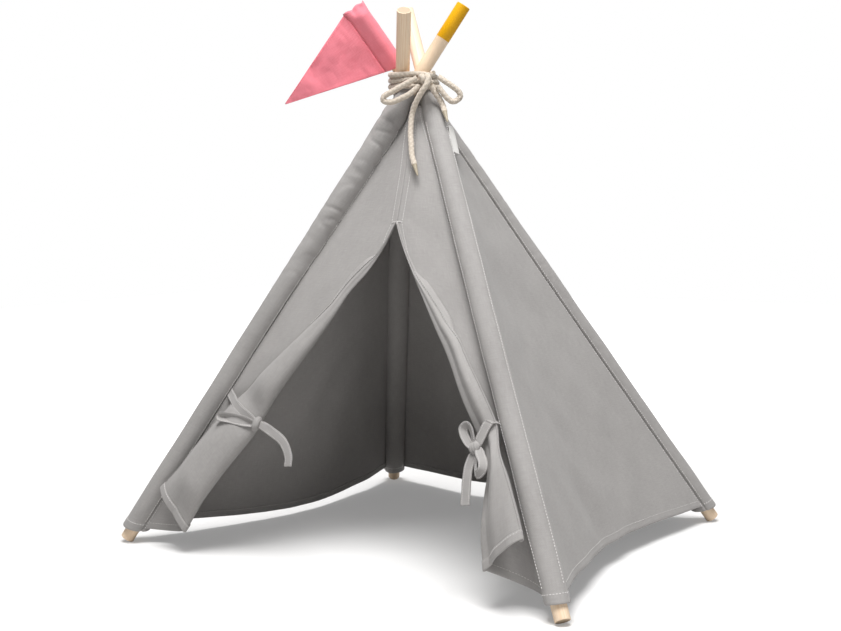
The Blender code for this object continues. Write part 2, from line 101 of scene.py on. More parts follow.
def new_material(name):
    """An empty node material, with its tree and its shader."""
    made = bpy.data.materials.new(name)
    made.use_nodes = True
    return made, made.node_tree, made.node_tree.nodes["Principled BSDF"]


def place_object(name, data, *materials):
    made = bpy.data.objects.new(name, data)
    for one in materials:
        data.materials.append(one)
    scene.collection.objects.link(made)
    return made


FLOOR_REACH = 4.0
GLOW_START, GLOW_FULL, GLOW_NEAR = 0.42, 1.1, 0.22
ROOM_LIGHT = 0.17
# Painted studio floor: matt white; away from the tent it glows for the camera, so that it runs out to plain white
floor_paint, tree, shader = new_material("studio_floor_matt_white")
seen = add_node(tree, "ShaderNodeLightPath").outputs["Is Camera Ray"]
paint = add_node(tree, "ShaderNodeMix", {0: seen, 6: linear("#CFCECD"), 7: linear("#D8D7D6")}, data_type="RGBA")
feed(tree, shader, {"Base Color": paint, "Roughness": 0.9, "Specular IOR Level": 0.1})
where = add_node(tree, "ShaderNodeTexCoord").outputs["Object"]
away = add_node(tree, "ShaderNodeVectorMath", {0: where}, operation="LENGTH")
bright = add_node(
    tree,
    "ShaderNodeMapRange",
    {"Value": away, "From Min": GLOW_START, "From Max": GLOW_FULL, "To Min": GLOW_NEAR, "To Max": 1.0},
    interpolation_type="SMOOTHSTEP",
)
glow = add_node(tree, "ShaderNodeEmission", {"Strength": bright})
glowing = add_node(tree, "ShaderNodeAddShader", {0: shader, 1: glow})
pick = add_node(tree, "ShaderNodeMixShader", {0: seen, 1: shader, 2: glowing})
feed(tree, tree.nodes["Material Output"], {"Surface": pick})
floor_mesh = bpy.data.meshes.new("studio_floor")
corners = [(-1, -1, 0), (1, -1, 0), (1, 1, 0), (-1, 1, 0)]
floor_mesh.from_pydata([Vector(corner) * FLOOR_REACH for corner in corners], [], [(0, 1, 2, 3)])
floor = place_object("studio_floor", floor_mesh, floor_paint)
floor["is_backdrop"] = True

world = bpy.data.worlds.new("pale_studio")
scene.world = world
world.use_nodes = True
tree = world.node_tree
path = add_node(tree, "ShaderNodeLightPath")
seen = path.outputs["Is Camera Ray"]
for ray in ("Is Glossy Ray", "Is Transmission Ray"):
    seen = add_node(tree, "ShaderNodeMath", {0: seen, 1: path.outputs[ray]}, operation="MAXIMUM")
room = tree.nodes["Background"]
feed(tree, room, {"Color": linear("#FFFFFF"), "Strength": ROOM_LIGHT})
white = add_node(tree, "ShaderNodeBackground", {"Color": linear("#FFFFFF"), "Strength": 1.0})
pick = add_node(tree, "ShaderNodeMixShader", {0: seen, 1: room, 2: white})
feed(tree, tree.nodes["World Output"], {"Surface": pick})


def add_lamp(name, place, aim, size, power):
    """A square soft box that faces what it is aimed at."""
    lamp = bpy.data.lights.new(name, "AREA")
    lamp.shape, lamp.size, lamp.energy = "SQUARE", size, power
    made = place_object(name, lamp)
    made.location = place
    made.rotation_euler = (Vector(aim) - Vector(place)).to_track_quat("-Z", "Y").to_euler()


add_lamp("soft_box_overhead", (0.46, -0.72, 2.95), (0, 0, 0.3), 1.5, 118)
add_lamp("weak_fill_low_right", (1.60, -1.60, 0.45), (0, 0, 0.2), 1.4, 6)

CAMERA_PLACE = Vector((1.0377, -1.4858, 0.4489))
CAMERA_TURN, CAMERA_PITCH, CAMERA_ROLL = math.radians(35.74), math.radians(-4.78), math.radians(-0.88)
LENS_OF_FRAME = 58.13
lens = bpy.data.cameras.new("camera")
lens.sensor_width, lens.lens, lens.clip_end = 36, LENS_OF_FRAME, 30
camera = place_object("camera", lens)
camera.matrix_world = (
    Matrix.Translation(CAMERA_PLACE)
    @ Matrix.Rotation(CAMERA_TURN, 4, "Z")
    @ Matrix.Rotation(math.pi / 2 + CAMERA_PITCH, 4, "X")
    @ Matrix.Rotation(CAMERA_ROLL, 4, "Z")
)
scene.camera = camera
scene.view_settings.view_transform = "Standard"

# ---------------------------------------------------------------------------
# Poles: four plain dowels of pale birch, 18 mm thick, sanded and left bare, sawn
# square with a broken edge. They cross near the top; the one that leans from the
# left front corner has its upper end dipped in yellow lacquer.
# ---------------------------------------------------------------------------
POLE_RADIUS = 0.009
POLE_LENGTH = 0.832
POLE_EDGE = 0.0008
POLE_SIDES, POLE_RINGS, EDGE_RINGS = 48, 24, 4
DIP_LENGTH = 0.0495
DIP_THICKNESS = 0.00016
FRONT_FOOT, REAR_FOOT, HALF_DEPTH = 0.338, 0.279, 0.2625
LASHING = Vector((0, -0.0527, 0.600))
# Sleeves that the poles stand in: their radius where they are gathered, the slack below, and where the seams lie
SNUG = 0.0099
HANG_SHARE = 0.3
SLEEVE_FOOT, SLEEVE_TOP, SLEEVE_TAPER = 0.026, 0.017, 0.032
COLLAR = 0.011
SEAM_TURN = math.radians(24)
SEAM_WIDTH, SEAM_DEPTH = 0.08, 0.0020
CREASE_STEP, WAVE_STEP, WAVE_DEPTH = 0.017, 0.07, 0.0008
GATHERS, GATHER_START, GATHER_END, GATHER_DEPTH = 8, 0.062, 0.036, 0.0009
# Shares of a pole's length up to the lashing, between which the seams beside the door drift: the tie's and the top's
DRIFT_START, DRIFT_END = 0.5, 0.85


def smooth_step(value, low, high):
    share = min(max((value - low) / (high - low), 0), 1)
    return share * share * (3 - 2 * share)


class Pole:
    """One pole's line from the floor up through the lashing, and the sleeve around it."""

    def __init__(self, name, foot, crossing, spare, creases, seed):
        self.name, self.spare, self.creases, self.seed = name, spare, creases, seed
        self.floor = Vector((*foot, 0))
        crossing = LASHING + Vector((*crossing, 0)) * 2 * POLE_RADIUS
        self.along = (crossing - self.floor).normalized()
        self.reach = (crossing - self.floor).length
        self.outward = (self.floor - self.along * self.floor.dot(self.along)).normalized()
        self.side = self.along.cross(self.outward)
        self.seams, self.front_seam, self.swings = (), 0.0, {}
        self.start = (POLE_RADIUS - POLE_EDGE) * math.sin(math.acos(self.along.z)) / self.along.z
        self.end = self.start + POLE_LENGTH

    def at(self, distance):
        return self.floor + self.along * distance

    def at_height(self, height):
        return self.at(height / self.along.z)

    def slack(self, distance):
        return self.spare * min(max((self.reach - SLEEVE_TOP - distance) / SLEEVE_TAPER, 0), 1)

    def middle(self, distance):
        return self.at(distance) - self.outward * self.slack(distance) * HANG_SHARE

    def radius(self, distance, turn):
        """How far the sleeve's cloth is from its middle: creased across where it is loose, gathered at the top."""
        slack = self.slack(distance) / self.spare
        deep = 0.0002 + self.creases * smooth_step(distance / self.reach, 0.42, DRIFT_END)
        deep *= 0.55 + 0.45 * math.cos(turn - self.front_seam)
        slant = distance / CREASE_STEP + 0.5 * math.sin(turn + self.seed)
        round_it = Vector((math.cos(turn) * 0.55, math.sin(turn) * 0.55, slant + self.seed))
        fold = 0.45 * noise.noise(round_it * 0.8 + UP * 9) - math.exp(-((noise.noise(round_it) / 0.16) ** 2))
        broad = noise.noise(Vector((math.cos(turn), math.sin(turn), distance / WAVE_STEP + self.seed)))
        gathered = smooth_step(distance, self.reach - GATHER_START, self.reach - GATHER_END)
        gathers = math.cos(turn * GATHERS + 1.3 * math.sin(turn * 3 + self.seed)) * GATHER_DEPTH * gathered
        drawn = sum(math.exp(-(((turn - seam) / SEAM_WIDTH) ** 2)) for seam in self.seams_at(distance)) * SEAM_DEPTH
        return SNUG + self.slack(distance) + (deep * fold + WAVE_DEPTH * broad - drawn) * slack + abs(gathers)

    def drift(self, distance):
        """How much of their drift the seams beside the door have made so far up the pole."""
        return smooth_step(distance / self.reach, DRIFT_START, DRIFT_END)

    def seams_at(self, distance):
        """The turns of both seams."""
        return [low + (high - low) * self.drift(distance) for low, high in self.seams]

    def turns_at(self, distance):
        """The turns of the sleeve's points, closer together beside the seams."""
        stops = [(-math.pi, 14)]
        for seam, onward in zip(self.seams_at(distance), (16, 14)):
            stops += [(seam - 0.2, 3), (seam - 0.07, 2), (seam, 2), (seam + 0.07, 3), (seam + 0.2, onward)]
        stops.append((math.pi, 0))
        return [
            start + (end - start) * step / count
            for (start, count), (end, _) in zip(stops, stops[1:])
            for step in range(count)
        ]

    def foot(self, turn):
        """Where the sleeve starts: its lower edge is cut half-way between square to the pole and level."""
        return SLEEVE_FOOT - 0.5 * (SNUG + self.spare) * self.outward.z / self.along.z * math.cos(turn)

    def head(self, turn):
        """Where the sleeve ends: under the lashing on the outside, lower between the poles."""
        return self.reach - SLEEVE_TOP + COLLAR * smooth_step(abs(turn), 2.6, 2.0)

    def heading(self, turn):
        """The direction square to the pole at a turn from the outward one."""
        return self.outward * math.cos(turn) + self.side * math.sin(turn)

    def turn_of(self, heading):
        return math.atan2(heading.dot(self.side), heading.dot(self.outward))

    def on_sleeve(self, distance, heading, stand=0.0):
        """A place on the sleeve in a heading that is square to the pole."""
        return self.middle(distance) + heading * (self.radius(distance, self.turn_of(heading)) + stand)

    def heading_to(self, neighbour, distance, turn=SEAM_TURN):
        """The heading from the sleeve's middle to the seam of the wall towards a neighbour."""
        low, high = self.swings.get(neighbour.name, (0, 0))
        turn -= math.radians(low + (high - low) * self.drift(distance))
        span = neighbour.at_height(self.at(distance).z) - self.at(distance)
        towards = (span - self.along * span.dot(self.along)).normalized()
        side = self.along.cross(towards)
        if side.dot(self.outward) < 0:
            side = -side
        return towards * math.cos(turn) + side * math.sin(turn)

    def seam(self, neighbour, distance, turn=SEAM_TURN, stand=0.0003):
        return self.on_sleeve(distance, self.heading_to(neighbour, distance, turn), stand)


LEFT = Pole("front_left", (-FRONT_FOOT, -HALF_DEPTH), (0.61, -0.65), 0.0066, 0.0015, 3.1)
RIGHT = Pole("front_right", (FRONT_FOOT, -HALF_DEPTH), (0.80, 0.43), 0.0038, 0.0002, 17.7)
BACK_RIGHT = Pole("back_right", (REAR_FOOT, HALF_DEPTH), (-0.64, 0.68), 0.0060, 0.0004, 31.3)
BACK_LEFT = Pole("back_left", (-REAR_FOOT, HALF_DEPTH), (-0.60, -0.46), 0.0060, 0.0004, 47.9)
POLES = (LEFT, RIGHT, BACK_RIGHT, BACK_LEFT)
# How many degrees inwards the seams beside the door lie from the plain place, below and near the top; the right
# wall leaves its sleeve further outside
LEFT.swings = {"front_right": (10, 28)}
RIGHT.swings = {"front_left": (38, 0), "back_right": (-62, -62)}
for which, before, after in zip(POLES, POLES[-1:] + POLES[:-1], POLES[1:] + POLES[:1]):
    seams = []
    for other in (before, after):
        headings = [which.heading_to(other, which.reach * share) for share in (DRIFT_START, DRIFT_END)]
        seams.append([which.turn_of(heading) for heading in headings])
    which.front_seam = seams[1 if which is LEFT else 0][0]
    which.seams = sorted(seams)

# Birch dowel, planed, sanded and unfinished: pale straw with a slightly pinkish cast, growth lines
# 2.4 mm apart that run along the pole, arcs on the sawn ends, fine fibres and no gloss
RING_SPACING = 0.0024
birch, tree, shader = new_material("sanded_birch_dowel")
lie = add_node(tree, "ShaderNodeAttribute", attribute_name="grain").outputs["Vector"]
clouds = []
for scale, detail in (((60, 60, 7), 2.0), ((2600, 2600, 70), 3.0), ((90, 90, 14), 2.0)):
    cloud = add_node(tree, "ShaderNodeMapping", {"Vector": lie, "Scale": scale})
    clouds.append(add_node(tree, "ShaderNodeTexNoise", {"Vector": cloud, "Scale": 1.0, "Detail": detail}))
wander, fibre, patch = clouds
parts = add_node(tree, "ShaderNodeSeparateXYZ", {0: lie})
flat = add_node(tree, "ShaderNodeCombineXYZ", {"X": parts.outputs["X"], "Y": parts.outputs["Y"]})
radius = add_node(tree, "ShaderNodeVectorMath", {0: flat}, operation="LENGTH")
bent = add_node(tree, "ShaderNodeMath", {0: wander, 1: 0.0052, 2: radius}, operation="MULTIPLY_ADD")
turns = add_node(tree, "ShaderNodeMath", {0: bent, 1: math.tau / RING_SPACING}, operation="MULTIPLY")
rings = add_node(tree, "ShaderNodeMath", {0: turns}, operation="SINE")
rings = add_node(tree, "ShaderNodeMapRange", {"Value": rings, "From Min": -0.2, "From Max": 1.0, "To Max": 0.62})
patches = add_node(tree, "ShaderNodeMapRange", {"Value": patch, "From Min": 0.3, "From Max": 0.7, "To Max": 0.4})
fibres = add_node(tree, "ShaderNodeMapRange", {"Value": fibre, "From Min": 0.42, "From Max": 0.75, "To Max": 0.3})
cut = add_node(tree, "ShaderNodeAttribute", attribute_name="sawn").outputs["Fac"]
cut = add_node(tree, "ShaderNodeMath", {0: cut, 1: 0.9}, operation="MULTIPLY")
wood = linear("#F7E2C8")
for share, tone in ((rings, "#E8C8A2"), (patches, "#EECFAE"), (fibres, "#D3AC84"), (cut, "#AE9981")):
    wood = add_node(tree, "ShaderNodeMix", {0: share, 6: wood, 7: linear(tone)}, data_type="RGBA")
rough = add_node(tree, "ShaderNodeMapRange", {"Value": fibre, "To Min": 0.5, "To Max": 0.72})
bump = add_node(tree, "ShaderNodeBump", {"Strength": 0.35, "Distance": 0.0002, "Height": fibre})
feed(tree, shader, {"Base Color": wood, "Roughness": rough, "Normal": bump})

# Dipped lacquer: one opaque warm yellow coat, satin, with the wood's fibres faint under it
lacquer, tree, shader = new_material("dipped_yellow_lacquer")
lie = add_node(tree, "ShaderNodeAttribute", attribute_name="grain").outputs["Vector"]
fibre = add_node(tree, "ShaderNodeMapping", {"Vector": lie, "Scale": (1500, 1500, 45)})
fibre = add_node(tree, "ShaderNodeTexNoise", {"Vector": fibre, "Scale": 1.0, "Detail": 2.0})
coat = add_node(tree, "ShaderNodeMix", {0: fibre, 6: linear("#E8AE00"), 7: linear("#D89E00")}, data_type="RGBA")
rough = add_node(tree, "ShaderNodeMapRange", {"Value": fibre, "To Min": 0.36, "To Max": 0.5})
bump = add_node(tree, "ShaderNodeBump", {"Strength": 0.15, "Distance": 0.0002, "Height": fibre})
feed(tree, shader, {"Base Color": coat, "Roughness": rough, "Specular IOR Level": 0.3, "Normal": bump})


def dowel(which, dip):
    """A pole's rings from sawn end to sawn end, with a rounded edge at both and the step of the dipped coat."""
    bends = [step * math.pi / (2 * EDGE_RINGS) for step in range(EDGE_RINGS + 1)]
    edge = [(POLE_EDGE * (1 - math.cos(bend)), POLE_EDGE * (1 - math.sin(bend))) for bend in bends]
    line = which.end - dip
    thick = DIP_THICKNESS if dip else 0
    stops = [(which.start + back, POLE_RADIUS - inset) for back, inset in edge]
    stops += [(which.start + (line - which.start) * step / POLE_RINGS, POLE_RADIUS) for step in range(1, POLE_RINGS)]
    if dip:
        stops += [(line, POLE_RADIUS), (line + 0.0003, POLE_RADIUS + thick), (line + dip / 2, POLE_RADIUS + thick)]
    stops += [(which.end - back, POLE_RADIUS + thick - inset) for back, inset in reversed(edge)]
    places, grain = [], []
    pith = Vector((0.031 * math.cos(which.seed), 0.031 * math.sin(which.seed), which.seed))
    for stop, radius in stops:
        for side in range(POLE_SIDES):
            turn = math.tau * side / POLE_SIDES
            x, y = radius * math.cos(turn), radius * math.sin(turn)
            places.append(which.at(stop) + which.outward * x + which.side * y)
            grain.append(Vector((x, y, stop)) + pith)
    rings = len(stops)
    faces = []
    for low in range(0, (rings - 1) * POLE_SIDES, POLE_SIDES):
        for side in range(POLE_SIDES):
            after = (side + 1) % POLE_SIDES
            faces.append((low + side, low + after, low + POLE_SIDES + after, low + POLE_SIDES + side))
    # The ends have points of their own, so that they are sharp against the side and know that they are sawn
    for ring, turned in ((0, True), (rings - 1, False)):
        first = len(places)
        places += places[ring * POLE_SIDES : (ring + 1) * POLE_SIDES]
        grain += grain[ring * POLE_SIDES : (ring + 1) * POLE_SIDES]
        face = list(range(first, first + POLE_SIDES))
        faces.append(tuple(reversed(face)) if turned else tuple(face))
    mesh = bpy.data.meshes.new("pole_" + which.name)
    mesh.from_pydata(places, [], faces)
    mesh.shade_smooth()
    lie = mesh.attributes.new("grain", "FLOAT_VECTOR", "POINT")
    lie.data.foreach_set("vector", [value for one in grain for value in one])
    sawn = mesh.attributes.new("sawn", "FLOAT", "POINT")
    sawn.data.foreach_set("value", [0.0] * (rings * POLE_SIDES) + [1.0] * (2 * POLE_SIDES))
    mesh.materials.append(birch)
    mesh.materials.append(lacquer)
    if dip:
        for face in mesh.polygons:
            if (face.center - which.at(line)).dot(which.along) > 0:
                face.material_index = 1
    return mesh


def dress(piece, body, slot, *nodes):
    """The piece moves with a body and stands for these nodes. The slot is not used."""
    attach(piece, body)
    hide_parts(*nodes)


for which in POLES:
    pole = place_object("birch_pole_" + which.name, dowel(which, DIP_LENGTH if which is LEFT else 0))
    dress(pole, which.name + "_side", "birch", "pole_" + which.name)

# ---------------------------------------------------------------------------
# Lashing: a soft round-braided cotton rope, 7.2 mm thick, wound a little over three
# times round the four poles above the cover and pulled tight.
# ---------------------------------------------------------------------------
ROPE_DIAMETER = 0.0072
WINDING_TURNS, WINDING_PITCH, WINDING_RAISE, WINDING_STEPS = 3.3, 0.0073, 0.0030, 120
WINDING_START, WINDING_RINGS = math.radians(60), 150

# Braided cotton rope: undyed cream yarn, matt and slightly hairy, with painted shade where the plaits dip under
rope_cotton, tree, shader = new_material("braided_cream_cotton")
plait = add_node(tree, "ShaderNodeAttribute", attribute_name="plait").outputs["Fac"]
where = add_node(tree, "ShaderNodeTexCoord").outputs["Object"]
yarn = add_node(tree, "ShaderNodeTexNoise", {"Vector": where, "Scale": 1300.0, "Detail": 3.0})
soil = add_node(tree, "ShaderNodeTexNoise", {"Vector": where, "Scale": 60.0, "Detail": 2.0})
# Painted shade: the braid's low parts, where one plait dips under another, keep the darker base tone, and the raised
# plaits are lighter
deep = add_node(tree, "ShaderNodeMapRange", {"Value": plait, "From Min": 0.1, "From Max": 0.75})
hairy = add_node(tree, "ShaderNodeMapRange", {"Value": yarn, "From Min": 0.35, "From Max": 0.7, "To Max": 0.35})
soiled = add_node(tree, "ShaderNodeMapRange", {"Value": soil, "From Min": 0.4, "From Max": 0.7, "To Max": 0.3})
base = linear("#BFB2A1")
for share, tone in ((deep, "#D2C7BA"), (hairy, "#C4B9AA"), (soiled, "#CFC3B2")):
    base = add_node(tree, "ShaderNodeMix", {0: share, 6: base, 7: linear(tone)}, data_type="RGBA")
bump = add_node(tree, "ShaderNodeBump", {"Strength": 0.5, "Distance": 0.0003, "Height": yarn})
feed(tree, shader, {"Base Color": base, "Roughness": 0.92, "Normal": bump})
feed(tree, shader, {"Sheen Weight": 0.25, "Sheen Roughness": 0.5})

# Stiffened rope end: the last 16 mm dipped in glue and drawn to a point, grey beige and a little shiny
stiff_end, tree, shader = new_material("glue_stiffened_rope_end")
where = add_node(tree, "ShaderNodeTexCoord").outputs["Object"]
speckle = add_node(tree, "ShaderNodeTexNoise", {"Vector": where, "Scale": 700.0, "Detail": 2.0})
tone = add_node(tree, "ShaderNodeMix", {0: speckle, 6: linear("#BDB19B"), 7: linear("#8F8572")}, data_type="RGBA")
rough = add_node(tree, "ShaderNodeMapRange", {"Value": speckle, "To Min": 0.38, "To Max": 0.6})
bump = add_node(tree, "ShaderNodeBump", {"Strength": 0.3, "Distance": 0.0003, "Height": speckle})
feed(tree, shader, {"Base Color": tone, "Roughness": rough, "Normal": bump})


def running_length(line):
    """How far along a line each of its places is."""
    lengths = [0.0]
    for one, other in zip(line, line[1:]):
        lengths.append(lengths[-1] + (other - one).length)
    return lengths


def even_path(fine, count):
    """count + 1 places, evenly spaced along straight pieces between the points."""
    lengths = running_length(fine)
    places, piece = [], 0
    for step in range(count + 1):
        wanted = lengths[-1] * step / count
        while piece < len(fine) - 2 and lengths[piece + 1] < wanted:
            piece += 1
        share = (wanted - lengths[piece]) / max(lengths[piece + 1] - lengths[piece], 1e-9)
        places.append(fine[piece].lerp(fine[piece + 1], share))
    return places


def smooth_path(points, count):
    """count + 1 places, evenly spaced along a smooth curve through the points."""
    points = [Vector(point) for point in points]
    ends = [2 * points[0] - points[1], *points, 2 * points[-1] - points[-2]]
    fine = []
    for before, start, end, after in zip(ends, ends[1:], ends[2:], ends[3:]):
        for step in range(12):
            t = step / 12
            bend = (2 * before - 5 * start + 4 * end - after) * t * t
            twist = (3 * start - before - 3 * end + after) * t**3
            fine.append((2 * start + (end - before) * t + bend + twist) / 2)
    return even_path([*fine, points[-1]], count)


def new_tree(name, output, inputs):
    """A geometry tree with an output and named inputs, each with its kind and its value, and the inputs' sockets."""
    tree = bpy.data.node_groups.new(name, "GeometryNodeTree")
    for title, (kind, value) in inputs.items():
        socket = tree.interface.new_socket(title, in_out="INPUT", socket_type="NodeSocket" + kind)
        if value is not None:
            socket.default_value = value
    tree.interface.new_socket(output, in_out="OUTPUT", socket_type="NodeSocketGeometry")
    return tree, {socket.name: socket for socket in add_node(tree, "NodeGroupInput").outputs}


# The braid: a tube along the line, with three plaits one way round and three the other, over and under in turn
braid, given = new_tree(
    "round_braid",
    "Rope mesh",
    {
        "Line": ("Geometry", None),
        "Diameter": ("Float", ROPE_DIAMETER),
        "Plaits each way": ("Float", 3.0),
        "Length of one plait": ("Float", 0.0062),
        "Depth between plaits": ("Float", 0.0006),
        "Ring spacing": ("Float", 0.00075),
        "Rope": ("Material", None),
        "Stiffened end": ("Material", None),
    },
)
kinds = {"width": "FLOAT", "turn": "FLOAT_VECTOR", "run": "FLOAT", "hard": "FLOAT"}
width, turn, ran, hard = [
    add_node(braid, "GeometryNodeInputNamedAttribute", {"Name": name}, data_type=kind) for name, kind in kinds.items()
]
curve = add_node(braid, "GeometryNodeMeshToCurve", {"Mesh": given["Line"]})
curve = add_node(braid, "GeometryNodeResampleCurve", {"Curve": curve, "Length": given["Ring spacing"]}, mode="LENGTH")
run = add_node(braid, "GeometryNodeSplineParameter").outputs["Length"]
curve = add_node(braid, "GeometryNodeStoreNamedAttribute", {"Geometry": curve, "Name": "run", "Value": run})
half = add_node(braid, "ShaderNodeMath", {0: given["Diameter"], 1: 0.5}, operation="MULTIPLY")
circle = add_node(braid, "GeometryNodeCurvePrimitiveCircle", {"Resolution": 28, "Radius": half})
spot = add_node(braid, "GeometryNodeInputPosition")
circle = add_node(
    braid,
    "GeometryNodeStoreNamedAttribute",
    {"Geometry": circle, "Name": "turn", "Value": spot},
    data_type="FLOAT_VECTOR",
)
tube = add_node(
    braid, "GeometryNodeCurveToMesh", {"Curve": curve, "Profile Curve": circle, "Scale": width, "Fill Caps": True}
)
parts = add_node(braid, "ShaderNodeSeparateXYZ", {0: turn})
angle = add_node(braid, "ShaderNodeMath", {0: parts.outputs["Y"], 1: parts.outputs["X"]}, operation="ARCTAN2")
share = add_node(braid, "ShaderNodeMath", {0: angle, 1: 1 / math.tau}, operation="MULTIPLY")
around = add_node(braid, "ShaderNodeMath", {0: share, 1: given["Plaits each way"]}, operation="MULTIPLY")
onward = add_node(braid, "ShaderNodeMath", {0: ran, 1: given["Length of one plait"]}, operation="DIVIDE")
heights, cells = [], []
for operation in ("ADD", "SUBTRACT"):
    way = add_node(braid, "ShaderNodeMath", {0: around, 1: onward}, operation=operation)
    cells.append(add_node(braid, "ShaderNodeMath", {0: way}, operation="FLOOR"))
    part = add_node(braid, "ShaderNodeMath", {0: way}, operation="FRACT")
    part = add_node(braid, "ShaderNodeMath", {0: part, 1: math.pi}, operation="MULTIPLY")
    heights.append(add_node(braid, "ShaderNodeMath", {0: part}, operation="SINE"))
cell = add_node(braid, "ShaderNodeMath", {0: cells[0], 1: cells[1]}, operation="ADD")
cell = add_node(braid, "ShaderNodeMath", {0: cell, 1: 0.5}, operation="MULTIPLY")
cell = add_node(braid, "ShaderNodeMath", {0: cell}, operation="FRACT")
over = add_node(braid, "ShaderNodeMath", {0: cell, 1: 0.25}, operation="GREATER_THAN")
tops = []
for upper, lower in (heights, heights[::-1]):
    arch = add_node(braid, "ShaderNodeMath", {0: lower, 1: 0.3, 2: 0.7}, operation="MULTIPLY_ADD")
    tops.append(add_node(braid, "ShaderNodeMath", {0: upper, 1: arch}, operation="MULTIPLY"))
height = add_node(braid, "ShaderNodeMix", {0: over, 2: tops[0], 3: tops[1]}, data_type="FLOAT")
low = add_node(braid, "ShaderNodeMath", {0: height, 1: 0.6}, operation="SUBTRACT")
low = add_node(braid, "ShaderNodeMath", {0: low, 1: given["Depth between plaits"]}, operation="MULTIPLY")
soft = add_node(braid, "ShaderNodeMath", {0: 1.0, 1: hard}, operation="SUBTRACT")
low = add_node(braid, "ShaderNodeMath", {0: low, 1: soft}, operation="MULTIPLY")
facing = add_node(braid, "GeometryNodeInputNormal")
push = add_node(braid, "ShaderNodeVectorMath", {0: facing, "Scale": low}, operation="SCALE")
rope = add_node(braid, "GeometryNodeSetPosition", {"Geometry": tube, "Offset": push})
rope = add_node(braid, "GeometryNodeStoreNamedAttribute", {"Geometry": rope, "Name": "plait", "Value": height})
rope = add_node(braid, "GeometryNodeSetShadeSmooth", {"Geometry": rope})
rope = add_node(braid, "GeometryNodeRealizeInstances", {"Geometry": rope})
rope = add_node(braid, "GeometryNodeSetMaterial", {"Geometry": rope, "Material": given["Rope"]})
ended = add_node(braid, "ShaderNodeMath", {0: hard, 1: 0.5}, operation="GREATER_THAN")
rope = add_node(
    braid, "GeometryNodeSetMaterial", {"Geometry": rope, "Selection": ended, "Material": given["Stiffened end"]}
)
add_node(braid, "NodeGroupOutput", {0: rope})


def through_tree(name, source, tree, values):
    """Runs a geometry tree on a mesh, with values for its named inputs, and keeps what it makes as a plain mesh."""
    worker = place_object(name + "_line", source)
    modifier = worker.modifiers.new("make", "NODES")
    modifier.node_group = tree
    for socket in tree.interface.items_tree:
        if socket.name in values:
            modifier[socket.identifier] = values[socket.name]
    reading = bpy.context.evaluated_depsgraph_get()
    worked = worker.evaluated_get(reading)
    mesh = bpy.data.meshes.new_from_object(worked, preserve_all_data_layers=True, depsgraph=reading)
    bpy.data.objects.remove(worker)
    mesh.name = name
    return place_object(name, mesh)


TIP_RINGS, TIP_START, TIP_TAPER = 8, 0.92, 0.64


def rope_piece(name, points, tip=None):
    """A rope along the points, and along a drawn-out stiff tip where one is given."""
    line = list(points)
    width, hard = [1.0] * len(line), [0.0] * len(line)
    if tip:
        ahead = (line[-1] - line[-2]).normalized()
        for step in range(1, TIP_RINGS + 1):
            line.append(points[-1] + ahead * tip * step / TIP_RINGS)
            width.append(TIP_START - TIP_TAPER * step / TIP_RINGS)
            hard.append(1.0)
    mesh = bpy.data.meshes.new(name)
    mesh.from_pydata(line, [(step, step + 1) for step in range(len(line) - 1)], [])
    for title, values in (("width", width), ("hard", hard)):
        mesh.attributes.new(title, "FLOAT", "POINT").data.foreach_set("value", values)
    return through_tree(name, mesh, braid, {"Rope": rope_cotton, "Stiffened end": stiff_end}), line


stand = (POLE_RADIUS + ROPE_DIAMETER / 2) / min(which.along.z for which in POLES) + 0.0004
winding = []
for step in range(int(WINDING_TURNS * WINDING_STEPS) + 1):
    heading = WINDING_START + math.tau * step / WINDING_STEPS
    height = LASHING.z + WINDING_RAISE + WINDING_PITCH * (WINDING_TURNS / 2 - step / WINDING_STEPS)
    side = Vector((math.cos(heading), math.sin(heading), 0))
    outer = max((which.at_height(height) for which in POLES), key=side.dot)
    winding.append(outer + side * stand)
winding = even_path(winding, WINDING_RINGS)
for turn in range(3):
    eased = [(a + 2 * b + c) / 4 for a, b, c in zip(winding, winding[1:], winding[2:])]
    winding = [winding[0], *eased, winding[-1]]
lashing, line = rope_piece("rope_lashing", winding)
dress(lashing, "back_right_side", "cream_rope", "lashing_rope")

# ---------------------------------------------------------------------------
# Bow: the same rope's two ends tied in front of the lashing in a bow, with a knot of
# two wraps, a loop to each side and two tails whose ends are stiffened to a point.
# ---------------------------------------------------------------------------
KNOT_PLACE = Vector((0.0363, -0.0757, 0.6026))
KNOT_HEADING = math.radians(36)
KNOT_REACH, KNOT_SPREAD = 0.0084, 0.0038
KNOT_WRAPS, KNOT_STEPS, KNOT_START = 2, 60, math.radians(205)
BOW_STEPS = 40
TIP_LENGTH = 0.0166
LEFT_LOOP = (
    (0.0288, -0.0837, 0.6040), (0.0180, -0.0912, 0.5978), (0.0050, -0.1005, 0.5892),
    (-0.0058, -0.1070, 0.5822), (-0.0064, -0.1067, 0.5762), (0.0022, -0.1018, 0.5748),
    (0.0125, -0.0965, 0.5790), (0.0220, -0.0905, 0.5845), (0.0312, -0.0819, 0.5948),
)
RIGHT_LOOP = (
    (0.0499, -0.0663, 0.6056), (0.0565, -0.0636, 0.6005), (0.0640, -0.0580, 0.5940),
    (0.0708, -0.0520, 0.5865), (0.0716, -0.0509, 0.5795), (0.0655, -0.0560, 0.5742),
    (0.0600, -0.0610, 0.5780), (0.0550, -0.0652, 0.5855), (0.0500, -0.0682, 0.5940),
)
FRONT_TAIL = (
    (0.0448, -0.0818, 0.6034), (0.0442, -0.0848, 0.5950), (0.0376, -0.0874, 0.5852),
    (0.0293, -0.0876, 0.5730), (0.0232, -0.0875, 0.5590), (0.0245, -0.0930, 0.5370),
    (0.0295, -0.0990, 0.5202), (0.0337, -0.1033, 0.5063), (0.0394, -0.1067, 0.4956),
)
SIDE_TAIL = (
    (0.0422, -0.0722, 0.5951), (0.0450, -0.0690, 0.5870), (0.0490, -0.0645, 0.5790),
    (0.0530, -0.0625, 0.5700), (0.0578, -0.0655, 0.5620),
)
